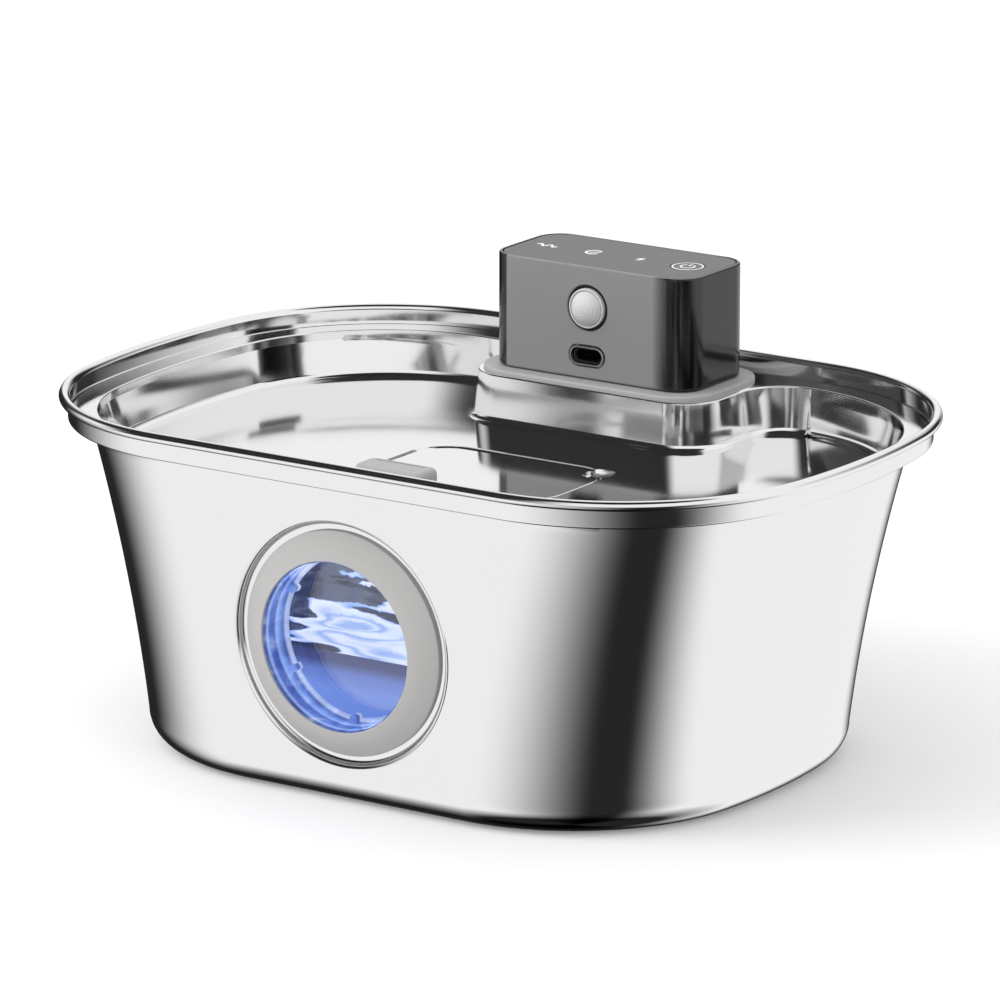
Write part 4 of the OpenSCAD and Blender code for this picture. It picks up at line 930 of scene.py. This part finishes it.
class FOUNTAIN_OT_hatch(bpy.types.Operator):
    """Draws the filter hatch and its silicone grip"""
    bl_idname = "fountain.hatch"
    bl_label = "Hatch"

    def execute(self, context):
        place = at(*HATCH, FLOOR_Z - HATCH_SINK)
        plate = piece("hatch_cover", block_mesh(
            "hatch_cover", lambda g: rounded(HATCH_L, HATCH_W, HATCH_R, g, steps=16), -SHEET, 0, 0.35, 0.2),
            place)
        combined(plate, rod("notch", NOTCH_R, -3, 3, 96), place @ at(*NOTCH, 0))
        smoothed(plate)
        dressed(plate, coat("polished_steel"), "hatch", "hatch_plate")
        grip = piece("grip", block_mesh(
            "grip", lambda g: rounded(GRIP_L, GRIP_W, 3.0, g, (GRIP_DX, GRIP_Y), 8), 0.0, GRIP_H, 2.0, 0.0, 10),
            place)
        groove = block_mesh("groove", lambda g: rounded(*GROOVE, g, (GRIP_DX, GRIP_Y + GROOVE_DY), 4),
                            GRIP_H - GROOVE_DEPTH, GRIP_H + 2)
        combined(grip, groove, place)
        smoothed(grip, 24)
        dressed(grip, coat("grip_silicone"), "hatch", "grip_tab")
        return {"FINISHED"}


class FOUNTAIN_OT_module(bpy.types.Operator):
    """Draws the drive module: collar, housing, top panel, button, sensor lens and charging port"""
    bl_idname = "fountain.module"
    bl_label = "Drive module"

    def execute(self, context):
        def base(grow):
            return rounded(MODULE_W, MODULE_D, MODULE_R, grow, (0, MODULE_Y), 20)

        collar = piece("collar", block_mesh("collar", lambda g: base(COLLAR_RIM + g), LEDGE_Z,
                                            LEDGE_Z + COLLAR_T, 0.7))
        combined(collar, stem_block(STEM_ROOM, LEDGE_Z - 2, LEDGE_Z + 4))
        smoothed(collar, 24)
        dressed(collar, coat("pale_silicone"), "tray", "collar_gasket")
        housing = piece("housing", block_mesh("housing", base, MODULE_Z, MODULE_TOP, 0.5, 0.9))
        for inset, bottom in ((MODULE_WALL, MODULE_Z + MODULE_WALL), (PANEL_RIM, MODULE_TOP - PANEL_T)):
            combined(housing, block_mesh("hollow", lambda g: base(g - inset), bottom, MODULE_TOP + 1))
        combined(housing, stem_block(FIT, MODULE_Z - 1, MODULE_Z + 4))
        hole = [(SENSOR_R, -3), (SENSOR_R, -0.25), (SENSOR_R + 0.25, 0), (SENSOR_R + 0.25, 1)]
        combined(housing, lathe("sensor_hole", hole, closed=False), front_place(SENSOR_Z))
        combined(housing, block_mesh("port_hole", lambda g: slot(PORT_W, PORT_H, FIT + g), -3, 1),
                 front_place(SOCKET_Z))
        smoothed(housing)
        dressed(housing, coat("module_grey"), "module", "module_housing")
        panel = piece("panel", block_mesh("panel", lambda g: base(-PANEL_RIM - PANEL_GAP + g),
                                          MODULE_TOP - PANEL_T, MODULE_TOP - 0.05, 0.3))
        bx, br = BUTTON
        at_button = at(bx, MODULE_Y, MODULE_TOP)
        combined(panel, rod("button_hole", br + FIT, -4, 2, 96), at_button)
        smoothed(panel)
        dressed(panel, coat("panel_grey"), "module", "top_panel")
        cap = [(0.01, -0.05), (br - 0.3, -0.05)] + arc(br - 0.3, -0.35, 0.3, 90, -90, 5)[1:]
        cap += [(br, -2.3), (br + 1, -2.3), (br + 1, -3.1), (0.01, -3.1)]
        button = smoothed(piece("button", lathe("button", cap[::-1], closed=False, steps=96), at_button))
        dressed(button, coat("panel_grey"), "button", "power_button")
        base_r, base_z, lip_r, lip_z = LENS_R - 0.65, 0.5, LENS_R + 0.2, 0.7
        ring, ring_pitch = 0.04, 0.9
        rise = LENS_CROWN - base_z
        dome = (base_r ** 2 + rise ** 2) / (2 * rise)
        reach = math.degrees(math.asin(base_r / dome))
        crown = [(max(0.01, x), y + LENS_CROWN - ring - dome + ring * math.cos(2 * math.pi * x / ring_pitch))
                 for x, y in arc(0, 0, dome, 90, -reach, 60)]
        lens = crown + [(base_r + 0.15, base_z - 0.5), (lip_r - 0.5, base_z - 0.5), (lip_r - 0.5, lip_z - 0.1)]
        lens += [(lip_r - 0.35, lip_z), (lip_r - 0.15, lip_z), (lip_r, lip_z - 0.15)]
        lens += [(lip_r, -0.8), (LENS_R, -0.8), (LENS_R, -2.1), (8.1, -2.15), (8.1, -2.95), (0.01, -2.95)]
        lens = smoothed(piece("lens", lathe("lens", lens[::-1], closed=False, steps=96),
                              front_place(SENSOR_Z)), 24)
        dressed(lens, coat("milky_lens"), "module", "sensor_lens")
        liner = piece("port_liner", block_mesh("port_liner", lambda g: slot(PORT_W, PORT_H, -0.45 + g), -1.5,
                                               0.4, 0.15), front_place(SOCKET_Z))
        combined(liner, block_mesh("port_flange", lambda g: slot(PORT_W, PORT_H, g), -MODULE_WALL, -1.2),
                 front_place(SOCKET_Z), "UNION")
        combined(liner, block_mesh("liner_hole", lambda g: slot(PORT_W, PORT_H, -LINER + g), -3, 1),
                 front_place(SOCKET_Z))
        smoothed(liner, 24)
        dressed(liner, coat("liner_aluminium"), "module", "port_liner_ring")
        return {"FINISHED"}


class FOUNTAIN_OT_signs(bpy.types.Operator):
    """Draws the white signs printed on the module's top: flow, timer, bolt and the button's ring"""
    bl_idname = "fountain.signs"
    bl_label = "Signs"

    def execute(self, context):
        ink = moulded_finish("white_ink", linear("#f4f4f4"), 0.5), "white_plastic"

        def printed(name, outline, x, body):
            dressed(piece(name, block_mesh(name, lambda g: outline, *INK), at(x, MODULE_Y, 0)), ink, body)

        wave = [(-3.6 + 7.2 * i / 40, 1.1 * math.sin(4 * math.pi * i / 40)) for i in range(41)]
        printed("sign_flow", stroke(wave, 0.85), LAMPS_X[0], "module")
        printed("sign_timer", stroke(arc(0, 0, 2.4, 40, 285, 40), 0.8), LAMPS_X[1], "module")
        printed("sign_hand", stroke([(-0.9, -0.9), (0.2, 0.2), (1.9, 0.2)], 0.7), LAMPS_X[1], "module")
        bolt = [(0.6, 2.3), (-1.4, -0.4), (-0.2, -0.4), (-0.6, -2.3), (1.4, 0.4), (0.2, 0.4)]
        printed("sign_bolt", bolt, LAMPS_X[2], "module")
        printed("sign_power_arc", stroke(arc(0, 0, 2.2, 125, 290, 30), 0.55), BUTTON[0], "button")
        printed("sign_power_bar", stroke([(0, 0.7), (0, 1.8), (0, 2.9)], 0.55), BUTTON[0], "button")
        ring = lathe("sign_ring", [(4.5, INK[0]), (4.95, INK[0]), (4.95, INK[1]), (4.5, INK[1])], steps=96)
        dressed(piece("sign_ring", ring, at(BUTTON[0], MODULE_Y, 0)), ink, "button")
        return {"FINISHED"}


class FOUNTAIN_OT_filter_pads(bpy.types.Operator):
    """Draws the foam and the carbon pad in the filter box, each a soft block that bulges between its edges"""
    bl_idname = "fountain.filter_pads"
    bl_label = "Filter pads"

    def execute(self, context):
        for name, (node, z0, z1) in PADS.items():
            rings = []
            for k in range(13):
                t = math.pi * k / 12
                grow = -PAD_DRAW * (1 - math.sin(t)) ** 2
                rings.append(lifted(rounded(*PAD, grow, HATCH), (z0 + z1) / 2 - (z1 - z0) / 2 * math.cos(t)))
            middle = Vector((*HATCH, 0))
            for share in (0.75, 0.5, 0.25, 0.02):
                crown = [[(middle.x + (x - middle.x) * share, middle.y + (y - middle.y) * share, z)
                          for x, y, z in ring] for ring in (rings[0], rings[-1])]
                rings = [crown[0]] + rings + [crown[1]]
            pad = piece(name, stack_mesh(name, rings))
            centre = Vector((*HATCH, (z0 + z1) / 2)) * MM
            for vertex in pad.data.vertices:
                lump = noise.noise(vertex.co / (PAD_GRAIN * MM)) * PAD_LUMP * MM
                vertex.co += (centre - vertex.co).normalized() * abs(lump)
            smoothed(pad, 60)
            dressed(pad, coat("foam" if node == "filter_foam" else "carbon_felt"), "tray", node)
        return {"FINISHED"}


# The charging socket and its tongue take the near-black painted port shade in place of their own slot.
SOCKET_NODES = ("charging_socket", "socket_tongue")


class FOUNTAIN_OT_inner_parts(bpy.types.Operator):
    """Gives the pieces inside the tank and the module their finishes"""
    bl_idname = "fountain.inner_parts"
    bl_label = "Inner parts"

    def execute(self, context):
        slots = {row["node"]: row["material_slot"] for row in frame["record"]["subparts"]}
        for name, obj in frame["nodes"].items():
            if obj.hide_render:
                continue
            obj.data.materials.clear()
            obj.data.materials.append(coat("painted_port_shade" if name in SOCKET_NODES else slots[name])[0])
        return {"FINISHED"}


class FOUNTAIN_OT_stage(bpy.types.Operator):
    """Sets the camera, the pale floor, the studio's panorama and the soft lamps"""
    bl_idname = "fountain.stage"
    bl_label = "Stage"

    def execute(self, context):
        scene = context.scene
        camera = bpy.data.cameras.new("camera")
        camera.lens, camera.sensor_width = 263.9, 36.0
        camera.clip_end = 20
        eye = placed("camera", camera)
        place, target = Vector((1.200461, -1.781443, 0.647774)), Vector((-0.00086, 0.002203, 0.075369))
        eye.matrix_world = aimed(place, target)
        scene.camera = eye
        floor = piece("floor", stack_mesh("floor", [lifted(rounded(6000, 6000, 100), -20),
                                                     lifted(rounded(6000, 6000, 100), 0)]))
        paper = new_material("studio_floor", Base_Color=linear("#f7f7f7"), Roughness=0.8)[0]
        floor.data.materials.append(paper)
        floor.visible_glossy = floor.visible_transmission = False
        scene.view_settings.view_transform = "Standard"
        scene.world = studio_world(context.scene.fountain_look.sky)
        soft_lamp("key", (-1.3, -1.2, 1.3), 1.2, 16)
        soft_lamp("fill", (1.6, -0.4, 1.0), 1.4, 2)
        return {"FINISHED"}


class FOUNTAIN_PT_panel(bpy.types.Panel):
    """Lists the fountain's pieces in the sidebar"""
    bl_idname = "FOUNTAIN_PT_panel"
    bl_label = "Pet water fountain"
    bl_space_type = "VIEW_3D"
    bl_region_type = "UI"
    bl_category = "Fountain"

    def draw(self, context):
        for group in (context.scene.fountain_look, context.scene.fountain_sizes):
            for name in group.bl_rna.properties.keys():
                if name not in ("name", "rna_type"):
                    self.layout.prop(group, name)
        for operator in OPERATORS:
            self.layout.operator(operator.bl_idname)


OPERATORS = (FOUNTAIN_OT_tank, FOUNTAIN_OT_porthole, FOUNTAIN_OT_water, FOUNTAIN_OT_tray,
             FOUNTAIN_OT_filter_pads, FOUNTAIN_OT_hatch, FOUNTAIN_OT_module, FOUNTAIN_OT_signs,
             FOUNTAIN_OT_inner_parts, FOUNTAIN_OT_stage)
CLASSES = (FountainLook, FountainSizes) + OPERATORS + (FOUNTAIN_PT_panel,)


def register():
    for cls in CLASSES:
        bpy.utils.register_class(cls)
    bpy.types.Scene.fountain_look = PointerProperty(type=FountainLook)
    bpy.types.Scene.fountain_sizes = PointerProperty(type=FountainSizes)


def unregister():
    del bpy.types.Scene.fountain_sizes
    del bpy.types.Scene.fountain_look
    for cls in reversed(CLASSES):
        bpy.utils.unregister_class(cls)


def main():
    register()
    for operator in OPERATORS:
        group, name = operator.bl_idname.split(".")
        getattr(getattr(bpy.ops, group), name)()


if __name__ == "__main__":
    main()
